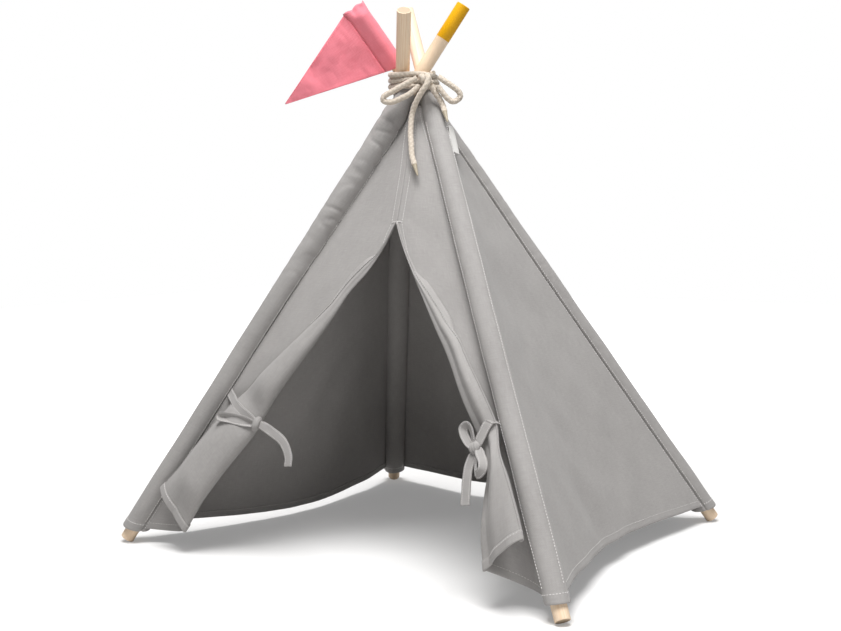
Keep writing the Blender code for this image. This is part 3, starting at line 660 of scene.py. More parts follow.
BOW = (
    ("rope_bow_loop_left", LEFT_LOOP, None, "object", ("bow_loop_left",)),
    ("rope_bow_loop_right", RIGHT_LOOP, None, "object", ("bow_loop_right",)),
    ("bow_tail_front", FRONT_TAIL, TIP_LENGTH, "bare", ("rope_tail_front", "rope_tip_front")),
    ("bow_tail_side", SIDE_TAIL, TIP_LENGTH, "bare", ("rope_tail_side", "rope_tip_side")),
)
for name, route, tip, far_end, nodes in BOW:
    piece, line = rope_piece(name, smooth_path(route, BOW_STEPS), tip)
    dress(piece, "back_right_side", "cream_rope", *nodes)

# The knot: the rope goes over, down in front and back under, twice, round the bow's own strands
right = Vector((math.cos(KNOT_HEADING), math.sin(KNOT_HEADING), 0))
ahead = Vector((math.sin(KNOT_HEADING), -math.cos(KNOT_HEADING), 0))
wraps = []
for step in range(KNOT_STEPS + 1):
    turn = KNOT_START - math.tau * KNOT_WRAPS * step / KNOT_STEPS
    shift = KNOT_REACH * (step / KNOT_STEPS - 0.5) * 1.7
    wraps.append(KNOT_PLACE + right * shift + (ahead * math.cos(turn) * 0.9 + UP * math.sin(turn)) * KNOT_SPREAD)
knot, line = rope_piece("bow_knot", wraps)
dress(knot, "back_right_side", "cream_rope", "rope_knot")

# ---------------------------------------------------------------------------
# Sleeves: wide channels of the cover's grey cotton, one for each pole, hemmed above
# the foot and gathered under the lashing. They hang loose on the poles, so they
# crease across, most of all on the left front pole near the top.
# ---------------------------------------------------------------------------
CLOTH = 0.0008
HEM = 0.010
LAYER = 0.0010
WEAVE_STEP = 0.0011


def woven_cotton(name, pale, deep, edge, fluff):
    """Plain-woven cotton: a material from its two tones, the tone of its worn edges and its fluff."""
    made, tree, shader = new_material(name)
    uv = add_node(tree, "ShaderNodeUVMap", uv_map="cloth")
    parts = add_node(tree, "ShaderNodeSeparateXYZ", {0: uv})
    waves, slubs = [], []
    for way, scale in (("X", (90, 900, 1)), ("Y", (1100, 70, 1))):
        turns = add_node(tree, "ShaderNodeMath", {0: parts.outputs[way], 1: math.pi / WEAVE_STEP}, operation="MULTIPLY")
        waves.append(add_node(tree, "ShaderNodeMath", {0: turns}, operation="SINE"))
        lie = add_node(tree, "ShaderNodeMapping", {"Vector": uv, "Scale": scale})
        slubs.append(add_node(tree, "ShaderNodeTexNoise", {"Vector": lie, "Scale": 1.0, "Detail": 2.0}))
    weave = add_node(tree, "ShaderNodeMath", {0: waves[0], 1: waves[1]}, operation="MULTIPLY")
    slub = add_node(tree, "ShaderNodeMath", {0: slubs[0], 1: slubs[1]}, operation="MULTIPLY")
    where = add_node(tree, "ShaderNodeTexCoord").outputs["Object"]
    cloud = add_node(tree, "ShaderNodeTexNoise", {"Vector": where, "Scale": 14.0, "Detail": 3.0})
    fuzz = add_node(tree, "ShaderNodeTexNoise", {"Vector": where, "Scale": 1400.0, "Detail": 2.0})
    tone = add_node(tree, "ShaderNodeMapRange", {"Value": weave, "From Min": -1.0, "To Min": 0.40, "To Max": 0.60})
    tone = add_node(tree, "ShaderNodeMath", {0: slub, 1: 1.3, 2: tone}, operation="MULTIPLY_ADD")
    tone = add_node(tree, "ShaderNodeMath", {0: cloud, 1: 0.45, 2: tone}, operation="MULTIPLY_ADD")
    tone = add_node(tree, "ShaderNodeMapRange", {"Value": tone, "From Min": 0.75, "From Max": 1.35})
    base = add_node(tree, "ShaderNodeMix", {0: tone, 6: linear(deep), 7: linear(pale)}, data_type="RGBA")
    worn = add_node(tree, "ShaderNodeAttribute", attribute_name="worn").outputs["Fac"]
    wear = add_node(tree, "ShaderNodeMath", {0: worn, 1: fuzz}, operation="MULTIPLY")
    base = add_node(tree, "ShaderNodeMix", {0: wear, 6: base, 7: linear(edge)}, data_type="RGBA")
    rough = add_node(tree, "ShaderNodeMapRange", {"Value": fuzz, "To Min": 0.82, "To Max": 0.98})
    relief = add_node(tree, "ShaderNodeMath", {0: slub, 1: 1.2, 2: weave}, operation="MULTIPLY_ADD")
    bump = add_node(tree, "ShaderNodeBump", {"Strength": 0.35, "Distance": WEAVE_STEP / 8, "Height": relief})
    feed(tree, shader, {"Base Color": base, "Roughness": rough, "Specular IOR Level": 0.25, "Normal": bump})
    feed(tree, shader, {"Sheen Weight": fluff, "Sheen Roughness": 0.45})
    return made


# Grey cotton canvas: a neutral mid grey, matt, with faint slubs. Its threads are drawn 1.1 mm apart, wider than
# the real ones, because finer ones can't show from where the tent is seen
grey_cotton = woven_cotton("plain_woven_grey_cotton", "#A9A6A4", "#979492", "#BDBAB8", 0.12)


def cloth_piece(name, grids, material, closed=False):
    """A sheet of cloth through grids that share their edges, with a map of the flat cloth and a thickness."""
    places, faces, flats, worn = [], [], [], []
    for rows, wear in grids:
        first, wide, height = len(places), len(rows[0]), 0.0
        for index, row in enumerate(rows):
            if index:
                height += (row[wide // 2] - rows[index - 1][wide // 2]).length
            across = running_length(row)
            centre = 0.0 if closed else across[-1] / 2
            places += row
            flats += [(step - centre, height) for step in across]
            worn += wear[index] if wear else [0.0] * wide
        for row in range(len(rows) - 1):
            for column in range(wide if closed else wide - 1):
                after = (column + 1) % wide
                low, high = first + row * wide, first + (row + 1) * wide
                faces.append((low + column, low + after, high + after, high + column))
    mesh = bpy.data.meshes.new(name)
    mesh.from_pydata(places, [], faces)
    layer = mesh.uv_layers.new(name="cloth")
    for face in mesh.polygons:
        for loop in face.loop_indices:
            layer.data[loop].uv = flats[mesh.loops[loop].vertex_index]
    if closed:
        # The last faces of each ring run on to the full girth instead of back to nothing
        for face in mesh.polygons:
            loops = list(face.loop_indices)
            widest = max(layer.data[loop].uv[0] for loop in loops)
            for loop in loops:
                if widest - layer.data[loop].uv[0] > 0.02:
                    step = (mesh.vertices[face.vertices[0]].co - mesh.vertices[face.vertices[1]].co).length
                    layer.data[loop].uv = (widest + step, layer.data[loop].uv[1])
    mark = mesh.attributes.new("worn", "FLOAT", "POINT")
    mark.data.foreach_set("value", worn)
    made = place_object(name, mesh, material)
    if len(grids) > 1:
        join = made.modifiers.new("join", "WELD")
        join.merge_threshold = 0.00001
    thick = made.modifiers.new("thickness", "SOLIDIFY")
    thick.thickness, thick.offset = CLOTH, 0
    mesh.shade_smooth()
    return made


def sheet_size(*grids):
    """The width, length and area of the flat cloth that the grids stand for."""
    area, width, length = 0.0, 0.0, 0.0
    for rows in grids:
        width = max(width, *[running_length(row)[-1] for row in rows])
        columns = list(zip(*rows))
        length += max(running_length(columns[one])[-1] for one in (0, -1, len(columns) // 2))
        for low, high in zip(rows, rows[1:]):
            for a, b, c, d in zip(low, low[1:], high[1:], high):
                area += (c - a).cross(d - b).length / 2
    return width, length, area


def grid_normal(rows, row, column):
    """The direction square to a grid at one of its points."""
    last_row, last_column = len(rows) - 1, len(rows[0]) - 1
    across = rows[row][min(column + 1, last_column)] - rows[row][max(column - 1, 0)]
    up = rows[min(row + 1, last_row)][column] - rows[max(row - 1, 0)][column]
    return across.cross(up).normalized()


def turned_hem(rows, sign, closed=False):
    """Rows that turn the lower edge of a grid over to the side that sign gives, and up again, as a sewn hem."""
    wide = len(rows[0])
    hem = [[] for _ in range(6)]
    for column in range(wide):
        if closed:
            across = rows[0][(column + 1) % wide] - rows[0][column - 1]
            square = across.cross(rows[1][column] - rows[0][column]).normalized() * sign
        else:
            square = grid_normal(rows, 0, column) * sign
        line = [row[column] for row in rows]
        down = (line[0] - line[1]).normalized()
        for index, height in enumerate((HEM, HEM * 0.66, HEM * 0.33, 0.0006)):
            left, place = height, line[0]
            for one, other in zip(line, line[1:]):
                step = (other - one).length
                if left <= step:
                    place = one.lerp(other, left / step)
                    break
                left -= step
            hem[index].append(place + square * LAYER * (1.0 if index else 1.1))
        hem[4].append(line[0] + square * LAYER * 0.85 + down * 0.0004)
        hem[5].append(line[0] + square * LAYER * 0.4 + down * 0.0007)
    return hem + rows


def hem_wear(row):
    """How worn a row of a hemmed grid is: most at the hem's fold, which is its sixth row."""
    return smooth_step(abs(row - 5), 3, 0) * 0.8


def sewing_thread(name, pale, deep):
    """Polyester thread, twisted and smooth: a little shinier than the cloth, in two tones of one colour."""
    made, tree, shader = new_material(name)
    where = add_node(tree, "ShaderNodeTexCoord").outputs["Object"]
    twist = add_node(tree, "ShaderNodeTexNoise", {"Vector": where, "Scale": 2500.0, "Detail": 1.0})
    tone = add_node(tree, "ShaderNodeMix", {0: twist, 6: linear(pale), 7: linear(deep)}, data_type="RGBA")
    rough = add_node(tree, "ShaderNodeMapRange", {"Value": twist, "To Min": 0.5, "To Max": 0.7})
    feed(tree, shader, {"Base Color": tone, "Roughness": rough})
    return made


# Sewing thread: off-white polyester, clearly lighter than the cloth
off_white_thread = sewing_thread("off_white_sewing_thread", "#FAF8F6", "#E6E3E1")

# Stitches: short raised threads at even steps along a seam line, each turned along the line and out of the cloth.
# They are drawn thicker than real thread, so that they show
sewing, given = new_tree(
    "lockstitch",
    "Stitches",
    {
        "Seam lines": ("Geometry", None),
        "Stitch spacing": ("Float", 0.0036),
        "Stitch length": ("Float", 0.0022),
        "Thread thickness": ("Float", 0.00055),
        "Thread": ("Material", None),
    },
)
curve = add_node(sewing, "GeometryNodeMeshToCurve", {"Mesh": given["Seam lines"]})
curve = add_node(
    sewing, "GeometryNodeResampleCurve", {"Curve": curve, "Length": given["Stitch spacing"]}, mode="LENGTH"
)
bead = add_node(sewing, "GeometryNodeMeshUVSphere", {"Segments": 6, "Rings": 4, "Radius": 0.5})
long, thick = given["Stitch length"], given["Thread thickness"]
size = add_node(sewing, "ShaderNodeCombineXYZ", {"X": long, "Y": thick, "Z": thick})
bead = add_node(sewing, "GeometryNodeTransform", {"Geometry": bead, "Scale": size})
onward = add_node(sewing, "GeometryNodeInputTangent")
facing = add_node(sewing, "GeometryNodeInputNamedAttribute", {"Name": "facing"}, data_type="FLOAT_VECTOR")
turned = add_node(sewing, "FunctionNodeAlignRotationToVector", {"Vector": onward}, axis="X")
turned = add_node(
    sewing, "FunctionNodeAlignRotationToVector", {"Rotation": turned, "Vector": facing}, axis="Z", pivot_axis="X"
)
sewn = add_node(sewing, "GeometryNodeInstanceOnPoints", {"Points": curve, "Instance": bead, "Rotation": turned})
sewn = add_node(sewing, "GeometryNodeRealizeInstances", {"Geometry": sewn})
sewn = add_node(sewing, "GeometryNodeSetShadeSmooth", {"Geometry": sewn})
sewn = add_node(sewing, "GeometryNodeSetMaterial", {"Geometry": sewn, "Material": given["Thread"]})
add_node(sewing, "NodeGroupOutput", {0: sewn})


def stitches(name, lines, step=0.0036, long=0.0022, thick=0.00055, thread=off_white_thread):
    """Stitches along lines of (place, facing); each line is sewn on its own."""
    places, edges, facings = [], [], []
    for line in lines:
        first = len(places)
        for place, facing in line:
            places.append(place + facing * (CLOTH / 2 + 0.00008))
            facings += list(facing)
        edges += [(first + index, first + index + 1) for index in range(len(line) - 1)]
    mesh = bpy.data.meshes.new(name)
    mesh.from_pydata(places, edges, [])
    mesh.attributes.new("facing", "FLOAT_VECTOR", "POINT").data.foreach_set("vector", facings)
    values = {"Stitch spacing": step, "Stitch length": long, "Thread thickness": thick, "Thread": thread}
    return through_tree(name, mesh, sewing, values)


def seam_line(rows, track, towards):
    """(place, facing) along a track of grid places (row, column), facing the side that towards points to."""
    line = []
    for tall, wide in track:
        row = min(max(int(tall), 0), len(rows) - 2)
        column = min(max(int(wide), 0), len(rows[0]) - 2)
        low = rows[row][column].lerp(rows[row][column + 1], wide - column)
        high = rows[row + 1][column].lerp(rows[row + 1][column + 1], wide - column)
        square = (rows[row][column + 1] - rows[row][column]).cross(high - low).normalized()
        if square.dot(towards) < 0:
            square = -square
        line.append((low.lerp(high, tall - row), square))
    return line


SLEEVE_SIDES, SLEEVE_STEPS = 64, 300
TOPSTITCH_INSET, TOPSTITCH_STEPS, TOPSTITCH_START, TOPSTITCH_SPAN = 0.0029, 120, 0.062, 0.85
TOPSTITCH = {"step": 0.0036, "long": 0.0025, "thick": 0.0008}
for which in POLES:
    body = which.name + "_side"
    rows = []
    for step in range(SLEEVE_STEPS + 1):
        row = []
        for turn in which.turns_at(which.reach * step / SLEEVE_STEPS):
            low, high = which.foot(turn), which.head(turn)
            distance = low + (high - low) * step / SLEEVE_STEPS
            ridge = 0.0004 * (1 - smooth_step(distance, low + HEM - 0.001, low + HEM + 0.0015))
            row.append(which.on_sleeve(distance, which.heading(turn), ridge))
        rows.append(row)
    hem_line = []
    hem_row = HEM / (which.reach - SLEEVE_FOOT - SLEEVE_TOP) * SLEEVE_STEPS
    for side in [*range(SLEEVE_SIDES), 0]:
        place = rows[int(hem_row)][side].lerp(rows[int(hem_row) + 1][side], hem_row % 1)
        hem_line.append((place, (place - which.middle((place - which.floor).dot(which.along))).normalized()))
    hemmed = turned_hem(rows, -1, closed=True)
    wear = [[hem_wear(index)] * SLEEVE_SIDES for index in range(len(hemmed))]
    sleeve = cloth_piece("sleeve_cloth_" + which.name, [(hemmed, wear)], grey_cotton, closed=True)
    dress(sleeve, body, "grey_cotton", "sleeve_" + which.name)
    width, length, area = sheet_size([row + [row[0]] for row in hemmed])
    # Rows of stitches on the sleeve beside its seams. The left front sleeve has one beside the door only, and on the
    # right front sleeve the one beside the door lies further round
    lines = [hem_line]
    for edge, sign in ((0, 1), (1, -1)) if which is not LEFT else ((1, -1),):
        beside = []
        for step in range(TOPSTITCH_STEPS + 1):
            distance = which.reach * (TOPSTITCH_START + TOPSTITCH_SPAN * step / TOPSTITCH_STEPS)
            turn = which.seams_at(distance)[edge] + sign * TOPSTITCH_INSET / (SNUG + which.spare)
            if which is RIGHT and edge == 0:
                turn += 0.32 + 0.55 * smooth_step(distance / which.reach, DRIFT_END, DRIFT_START)
            heading = which.heading(turn)
            beside.append((which.on_sleeve(distance, heading, 0.0002), heading))
        lines.append(beside)
    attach(stitches("stitches_sleeve_" + which.name, lines, **TOPSTITCH), body)

# ---------------------------------------------------------------------------
# Walls: three sheets of grey cotton canvas, right, back and left, each sewn to the
# sleeves on both sides with a lockstitch beside the seam, hemmed at the floor. They
# hang slack there, so their hems bow into the tent.
# ---------------------------------------------------------------------------
WALL_TOP = 0.036
HEM_HEIGHT = 0.028
WALL_STEPS, WALL_ACROSS = 100, 72
SEAM_INSET, HEM_INSET = 0.0030, HEM * 0.86


def fold_to(piece):
    """Gives the piece a mesh of its own."""
    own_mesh(piece)


def wall_rows(first, second, sag, drop, seed):
    span = second.floor - first.floor
    inward = UP.cross(span).normalized()
    if inward.dot(first.floor) > 0:
        inward = -inward
    rows = []
    for up in range(WALL_STEPS + 1):
        rise = (up / WALL_STEPS) ** 1.12
        ends = []
        for one, other in ((first, second), (second, first)):
            hem, top = HEM_HEIGHT / one.along.z, one.reach - WALL_TOP
            ends.append(one.seam(other, hem + (top - hem) * rise, stand=0.0))
        width = (ends[1] - ends[0]).length
        row = []
        for step in range(WALL_ACROSS + 1):
            share = step / WALL_ACROSS
            belly = math.sin(math.pi * share)
            u, v = (share - 0.5) * width, rise * first.reach
            place = ends[0].lerp(ends[1], share)
            place += inward * sag * belly * (1 - rise) ** 1.5
            place -= UP * drop * belly * (1 - rise) ** 3
            free = min(1.0, belly * 1.6)
            # Long soft folds that run up from the slack hem, shallow creases across, and the hem's own pucker
            fold = noise.noise(Vector((u / 0.075, v / 0.30, seed))) * 0.0042 * (1 - rise) ** 0.7
            fold += noise.noise(Vector((u / 0.035, v / 0.060, seed + 7))) * 0.0012
            fold += noise.noise(Vector(((u + v * 0.5) / 0.05, (v - u * 0.5) / 0.16, seed + 13))) * 0.0022
            pucker = math.sin(u / 0.0024 + 2.2 * noise.noise(Vector((u / 0.03, seed, 0)))) * 0.00022
            pucker *= math.exp(-((v - 0.004) / 0.014) ** 2)
            row.append(place + inward * (fold * free + pucker))
        rows.append(row)
    return rows, inward


def line_beside(rows, wide, stop, inset, most, towards, far=False):
    """A stitch line up a grid's first rows, at an inset from one side of its first columns or from their far side:
    at most a share of their width."""
    track = []
    for row in range(0, stop, 2):
        column = min(inset / (rows[row][wide] - rows[row][0]).length, most) * wide
        track.append((row, wide - column if far else column))
    return seam_line(rows, track, towards)


# Name, poles, how far the hem bows in and hangs down, seed of the folds; body, the joint that folds it, the pole that
# it stays with, the other one, and the share of its width that is left when folded
WALLS = (
    ("right", RIGHT, BACK_RIGHT, 0.036, 0.0, 5.0, "back_right_side", "fold_front_right", BACK_RIGHT, RIGHT, 0.081),
    ("back", BACK_RIGHT, BACK_LEFT, 0.044, 0.0, 9.0, "back_right_side", "fold_back_left", BACK_RIGHT, BACK_LEFT, 0.079),
    ("left", BACK_LEFT, LEFT, 0.052, 0.014, 23.0, "back_left_side", "fold_back_left", BACK_LEFT, LEFT, 0.081),
)
for name, first, second, sag, drop, seed, body, joint, keeper, other, keep in WALLS:
    rows, inward = wall_rows(first, second, sag, drop, seed)
    outward = -inward
    sign = 1 if grid_normal(rows, WALL_STEPS // 2, WALL_ACROSS // 2).dot(inward) > 0 else -1
    lines = [
        line_beside(rows, WALL_ACROSS, WALL_STEPS + 1, SEAM_INSET, 0.45, outward, far) for far in (False, True)
    ]
    hem_track = []
    for column in range(1, WALL_ACROSS):
        left, row = HEM_INSET, 0
        while left > (rows[row + 1][column] - rows[row][column]).length:
            left -= (rows[row + 1][column] - rows[row][column]).length
            row += 1
        hem_track.append((row + left / (rows[row + 1][column] - rows[row][column]).length, column))
    hem_line = seam_line(rows, hem_track, outward)
    lines += [hem_line, [(place + inward * LAYER, inward) for place, _ in hem_line]]
    hemmed = turned_hem(rows, sign)
    wear = [[hem_wear(index)] * (WALL_ACROSS + 1) for index in range(len(hemmed))]
    wall = cloth_piece("wall_cloth_" + name, [(hemmed, wear)], grey_cotton)
    sewn = stitches("stitches_wall_" + name, lines)
    dress(wall, body, "grey_cotton", "wall_" + name)
    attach(sewn, body)
    for piece in (wall, sewn):
        fold_to(piece)
    width, length, area = sheet_size(hemmed)

# ---------------------------------------------------------------------------
# Front: two halves of the same canvas, joined by a pressed-open seam above the door.
# Below it each half is rolled outwards as a flap and tied back, so that the inside of
# its edge hem shows. The right flap stands open at the bottom like a tube.
# ---------------------------------------------------------------------------
DOOR_HEIGHT = 0.421
FRONT_STAND = 0.010
EDGE_HEM = 0.008
DOOR_STEPS, HEAD_STEPS, PANEL_ACROSS = 96, 36, 36
ROLL_STEPS, FLAP_ACROSS, CURL_STEPS = 12, 22, 8
TIE_SPREAD, FULL_CURL = 0.020, math.radians(205)
BAND_INSET, BAND_ROWS, TACK_LENGTH, TACK_STEP = 0.0076, 26, 0.0074, 0.0006
HEAD_SHARES = ((1.0, 0.577), (1.15, 0.59), (1.24, 0.585), (1.325, 0.54), (1.355, 0.53))
LEFT_CREASE = (
    (0.060, 0.160), (0.143, 0.172), (0.249, 0.197), (0.350, 0.230), (0.420, 0.238), (0.515, 0.265), (0.620, 0.306),
    (0.716, 0.351), (0.790, 0.388), (0.862, 0.462), (0.930, 0.522), (1.0, 0.577),
)
RIGHT_CREASE = (
    (0.095, 0.872), (0.171, 0.878), (0.266, 0.900), (0.345, 0.922), (0.420, 0.912), (0.524, 0.878), (0.621, 0.848),
    (0.711, 0.799), (0.794, 0.747), (0.872, 0.686), (0.940, 0.628), (1.0, 0.577),
)
LEFT_EDGE = (
    (0.175, 0.036), (0.238, 0.054), (0.298, 0.064), (0.396, 0.089), (0.477, 0.120), (0.563, 0.170), (0.628, 0.214),
    (0.690, 0.260), (0.748, 0.294), (0.824, 0.343), (0.874, 0.400), (0.915, 0.468), (0.958, 0.530), (1.0, 0.572),
)
RIGHT_EDGE = (
    (0.185, 0.985), (0.236, 0.985), (0.307, 0.981), (0.404, 0.972), (0.490, 0.969), (0.545, 0.957), (0.610, 0.930),
    (0.680, 0.900), (0.741, 0.867), (0.799, 0.813), (0.859, 0.742), (0.930, 0.662), (1.0, 0.587),
)

front = (RIGHT.floor - LEFT.floor).cross((LEFT.at(LEFT.reach) + RIGHT.at(RIGHT.reach)) / 2 - LEFT.floor).normalized()
if front.y > 0:
    front = -front


def front_place(height_share, across_share):
    """A place on the front, at a share of the door's height and of the way from left pole to right."""
    height = DOOR_HEIGHT * height_share
    return LEFT.at_height(height).lerp(RIGHT.at_height(height), across_share) + front * FRONT_STAND


def front_curve(shares, count):
    return smooth_path([front_place(up, across) for up, across in shares], count)


def front_half(
    which, other, crease, edge, low_lift, high_lift, roll_low, crest, folds, fall_back, curl_span, pinch, seed
):
    """The grids of one half: the panel with its flap as one sheet, and the head above the door."""
    side = -1 if which is LEFT else 1
    crease = front_curve(crease, DOOR_STEPS)
    edge = front_curve(edge, DOOR_STEPS)
    head = [place + Vector((0.0003 * side, 0, 0)) for place in front_curve(HEAD_SHARES, HEAD_STEPS)]
    hem, door = HEM_HEIGHT / which.along.z, DOOR_HEIGHT / which.along.z
    top = which.reach - WALL_TOP
    door_rows, head_rows = [], []
    for step in range(DOOR_STEPS + HEAD_STEPS + 1):
        above = step > DOOR_STEPS
        share = min(step / DOOR_STEPS, 1)
        if above:
            stop = door + (top - door) * (step - DOOR_STEPS) / HEAD_STEPS
        else:
            stop = hem + (door - hem) * share
        start = which.seam(other, stop, stand=0.0)
        fold_line = crease[min(step, DOOR_STEPS)]
        near_top = smooth_step(share, 0.86, 0.40)
        tied = math.exp(-(((fold_line.z - pinch) / TIE_SPREAD) ** 2))
        roll = roll_low * (1 - 0.3 * share) * near_top * (1 - 0.5 * tied) * (0.3 + 0.7 * smooth_step(share, 0, 0.12))
        roll += 0.0009
        away = edge[min(step, DOOR_STEPS)] - fold_line
        reach = max(away.length, 0.0015)
        away = away.normalized()
        end = head[step - DOOR_STEPS] if step >= DOOR_STEPS else fold_line + away * min(roll, reach / 2)
        wide = (end - start).length
        row = []
        for column in range(PANEL_ACROSS + 1):
            part = column / PANEL_ACROSS
            free = min(1, 3 * part) * min(1, 3 * (1 - part)) if above else min(1, 3 * part)
            u, v = part * wide * side, stop
            fold = noise.noise(Vector((u / 0.05, v / 0.2, seed))) * 0.0030
            fold += noise.noise(Vector((u / 0.03, v / 0.05, seed + 5))) * 0.0010
            gathered = smooth_step(v, which.reach * 0.72, top)
            fold += noise.noise(Vector((part * 2.6, v / 0.12, seed + 3))) * 0.0050 * gathered
            free *= min(1, wide / 0.05) * (1 if above else min(1, 4 * (1.02 - part)))
            behind = 0 if above else fall_back * math.sin(math.pi * part) * smooth_step(share, 0.6, 0.1)
            row.append(start.lerp(end, part) + front * (fold * free - behind))
        if step >= DOOR_STEPS:
            # The seam allowance turns in and lies open behind the head
            inner, towards = row[-1], (row[-2] - row[-1]).normalized()
            allowance = [(0.0005, 0.0001), (0.0011, 0.0006)]
            allowance += [(0.0012, EDGE_HEM * part) for part in (0.3, 0.65, 1.0)]
            head_rows.append(row + [inner - front * back + towards * inset for back, inset in allowance])
        if above:
            continue
        place = fold_line
        lift = (low_lift + (high_lift - low_lift) * share) * near_top * (1 - 0.55 * tied) + 0.0022 * (1 - near_top)
        curl = smooth_step(share, curl_span[1], curl_span[0])
        band = min(EDGE_HEM, reach * 0.8)
        door_row = list(row)
        deep = min(crest * (1 - 0.5 * share), (reach - band * (1 - curl)) * 0.4)
        for bend in range(1, ROLL_STEPS + 1):
            turn = math.pi * bend / ROLL_STEPS
            back = min(roll, reach / 2) if turn < math.pi / 2 else deep
            door_row.append(place + front * roll * (1 - math.cos(turn)) + away * back * (1 - math.sin(turn)))
        start_flap = door_row[-1]
        end_flap = place + away * (reach - band * (1 - curl) - 0.002 * curl) + front * lift
        wide = (end_flap - start_flap).length
        for column in range(1, FLAP_ACROSS + 1):
            part = column / FLAP_ACROSS
            bow = math.sin(math.pi * part)
            u, v = part * wide, share * 0.45
            fold = noise.noise(Vector((u / 0.030, v / 0.16, seed + 11))) * 0.0034
            fold += noise.noise(Vector((u / 0.02, v / 0.04, seed + 17))) * 0.0009
            ripple = math.sin(u / 0.0075 + 1.5 * noise.noise(Vector((u / 0.03, v / 0.08, seed + 19))))
            fold += folds * ripple * smooth_step(share, 0.44, 0.12)
            ridge = lift * 0.30 * bow * (1 - 0.3 * tied) + 0.0022 * bow * near_top
            door_row.append(start_flap.lerp(end_flap, part) + front * (ridge + fold * bow * min(1, wide / 0.03)))
        heading = (door_row[-1] - door_row[-2]).normalized()
        out = (front - heading * front.dot(heading)).normalized()
        spot, zone = door_row[-1], []
        long = band * (1 - curl) + 0.0095 * curl
        for bend in range(1, CURL_STEPS + 1):
            turn = FULL_CURL * curl * (bend - 0.5) / CURL_STEPS
            spot = spot + (heading * math.cos(turn) - out * math.sin(turn)) * long / CURL_STEPS
            turn = FULL_CURL * curl * bend / CURL_STEPS
            onward = heading * math.cos(turn) - out * math.sin(turn)
            zone.append((spot, heading * math.sin(turn) + out * math.cos(turn), onward))
        door_row += [one for one, _, _ in zone]
        spot, square, onward = zone[-1]
        layer = min(LAYER, band * 0.4)
        door_row.append(spot + square * layer * 0.45 + onward * 0.0006 * (band / EDGE_HEM))
        for one, square, onward in reversed(zone):
            door_row.append(one + square * layer)
        door_rows.append(door_row)
    return door_rows, head_rows


# The left flap has the wider roll; the right one stands off its panel at the bottom, open like a tube
HALVES = {
    "left": dict(
        which=LEFT, other=RIGHT, crease=LEFT_CREASE, edge=LEFT_EDGE, low_lift=0.009, high_lift=0.009,
        roll_low=0.0115, crest=0.034, folds=0.0, fall_back=0.021, curl_span=(0.62, 0.74), pinch=0.176, seed=61.0,
    ),
    "right": dict(
        which=RIGHT, other=LEFT, crease=RIGHT_CREASE, edge=RIGHT_EDGE, low_lift=0.021, high_lift=0.005,
        roll_low=0.0046, crest=0.012, folds=0.0014, fall_back=0.028, curl_span=(0.56, 0.66), pinch=0.172, seed=83.0,
    ),
}


def follow_pole(piece, which):
    """The piece stays with a front pole and gets a mesh of its own."""
    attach(piece, which.name + "_side")
    fold_to(piece)


flap_trees = {}
for name, given in HALVES.items():
    which = given["which"]
    door_rows, head_rows = front_half(**given)
    middle = grid_normal(door_rows, DOOR_STEPS // 2, PANEL_ACROSS // 2)
    hemmed = turned_hem(door_rows, -1 if middle.dot(front) > 0 else 1)
    flap_first, flap_last = PANEL_ACROSS + ROLL_STEPS, PANEL_ACROSS + ROLL_STEPS + FLAP_ACROSS
    band_last = flap_last + CURL_STEPS
    band_wear = [0.35 * smooth_step(abs(column - band_last - 1), 3, 0) for column in range(len(hemmed[0]))]
    wear = [[max(hem_wear(index), one) for one in band_wear] for index in range(len(hemmed))]
    half = cloth_piece("front_cloth_" + name, [(hemmed, wear), (head_rows, None)], grey_cotton)
    follow_pole(half, which)
    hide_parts("front_panel_" + name, "door_flap_" + name)
    width, length, area = sheet_size(hemmed, head_rows)
    # Seam beside the sleeve, rows beside the middle seam, and the hem
    lines = [
        line_beside(door_rows, PANEL_ACROSS, DOOR_STEPS + 1, SEAM_INSET, 0.4, front),
        line_beside(head_rows, PANEL_ACROSS, HEAD_STEPS + 1, SEAM_INSET, 0.4, front),
        line_beside(head_rows, PANEL_ACROSS, HEAD_STEPS - 3, BAND_INSET, 0.45, front, far=True),
    ]
    hem_row = HEM_INSET / (door_rows[1][PANEL_ACROSS // 2] - door_rows[0][PANEL_ACROSS // 2]).length
    lines.append(seam_line(door_rows, [(hem_row, column) for column in range(1, PANEL_ACROSS)], front))
    flap_line = seam_line(door_rows, [(hem_row, column) for column in range(flap_first + 1, flap_last)], front)
    lines.append([(place + facing * LAYER, facing) for place, facing in flap_line])
    # The edge band's row: on the flap while it is wide enough, and on the panel above that
    band_line, panel_line = [], []
    for row in range(DOOR_STEPS, int(DOOR_STEPS * (given["curl_span"][0] + 0.02)), -1):
        across = (door_rows[row][band_last] - door_rows[row][flap_first]).length
        if across > EDGE_HEM and row <= DOOR_STEPS - 2:
            place, facing = seam_line(door_rows, [(row, flap_last + 0.7)], front)[0]
            band_line.append((place + facing * LAYER, facing))
        if across < EDGE_HEM * 0.9 and row > DOOR_STEPS - BAND_ROWS:
            wide = (door_rows[row][PANEL_ACROSS] - door_rows[row][0]).length
            panel_line += seam_line(door_rows, [(row, PANEL_ACROSS * (1 - (EDGE_HEM - across) / wide))], front)
    lines += [line for line in (band_line, panel_line) if len(line) > 1]
    follow_pole(stitches("stitches_front_" + name, lines), which)
    # Bar tack across the band at the top of the door
    corner = head_rows[0][PANEL_ACROSS]
    inwards = (head_rows[0][PANEL_ACROSS - 8] - corner).normalized()
    tack = []
    for part in range(3):
        start = corner + UP * TACK_STEP * part + front * 0.0004
        tack.append([(start + inwards * TACK_LENGTH * step / 8, front) for step in range(9)])
    follow_pole(stitches("bar_tack_" + name, tack, step=0.0012, long=0.0017), which)
    flap_trees[which] = BVHTree.FromObject(half, bpy.context.evaluated_depsgraph_get())

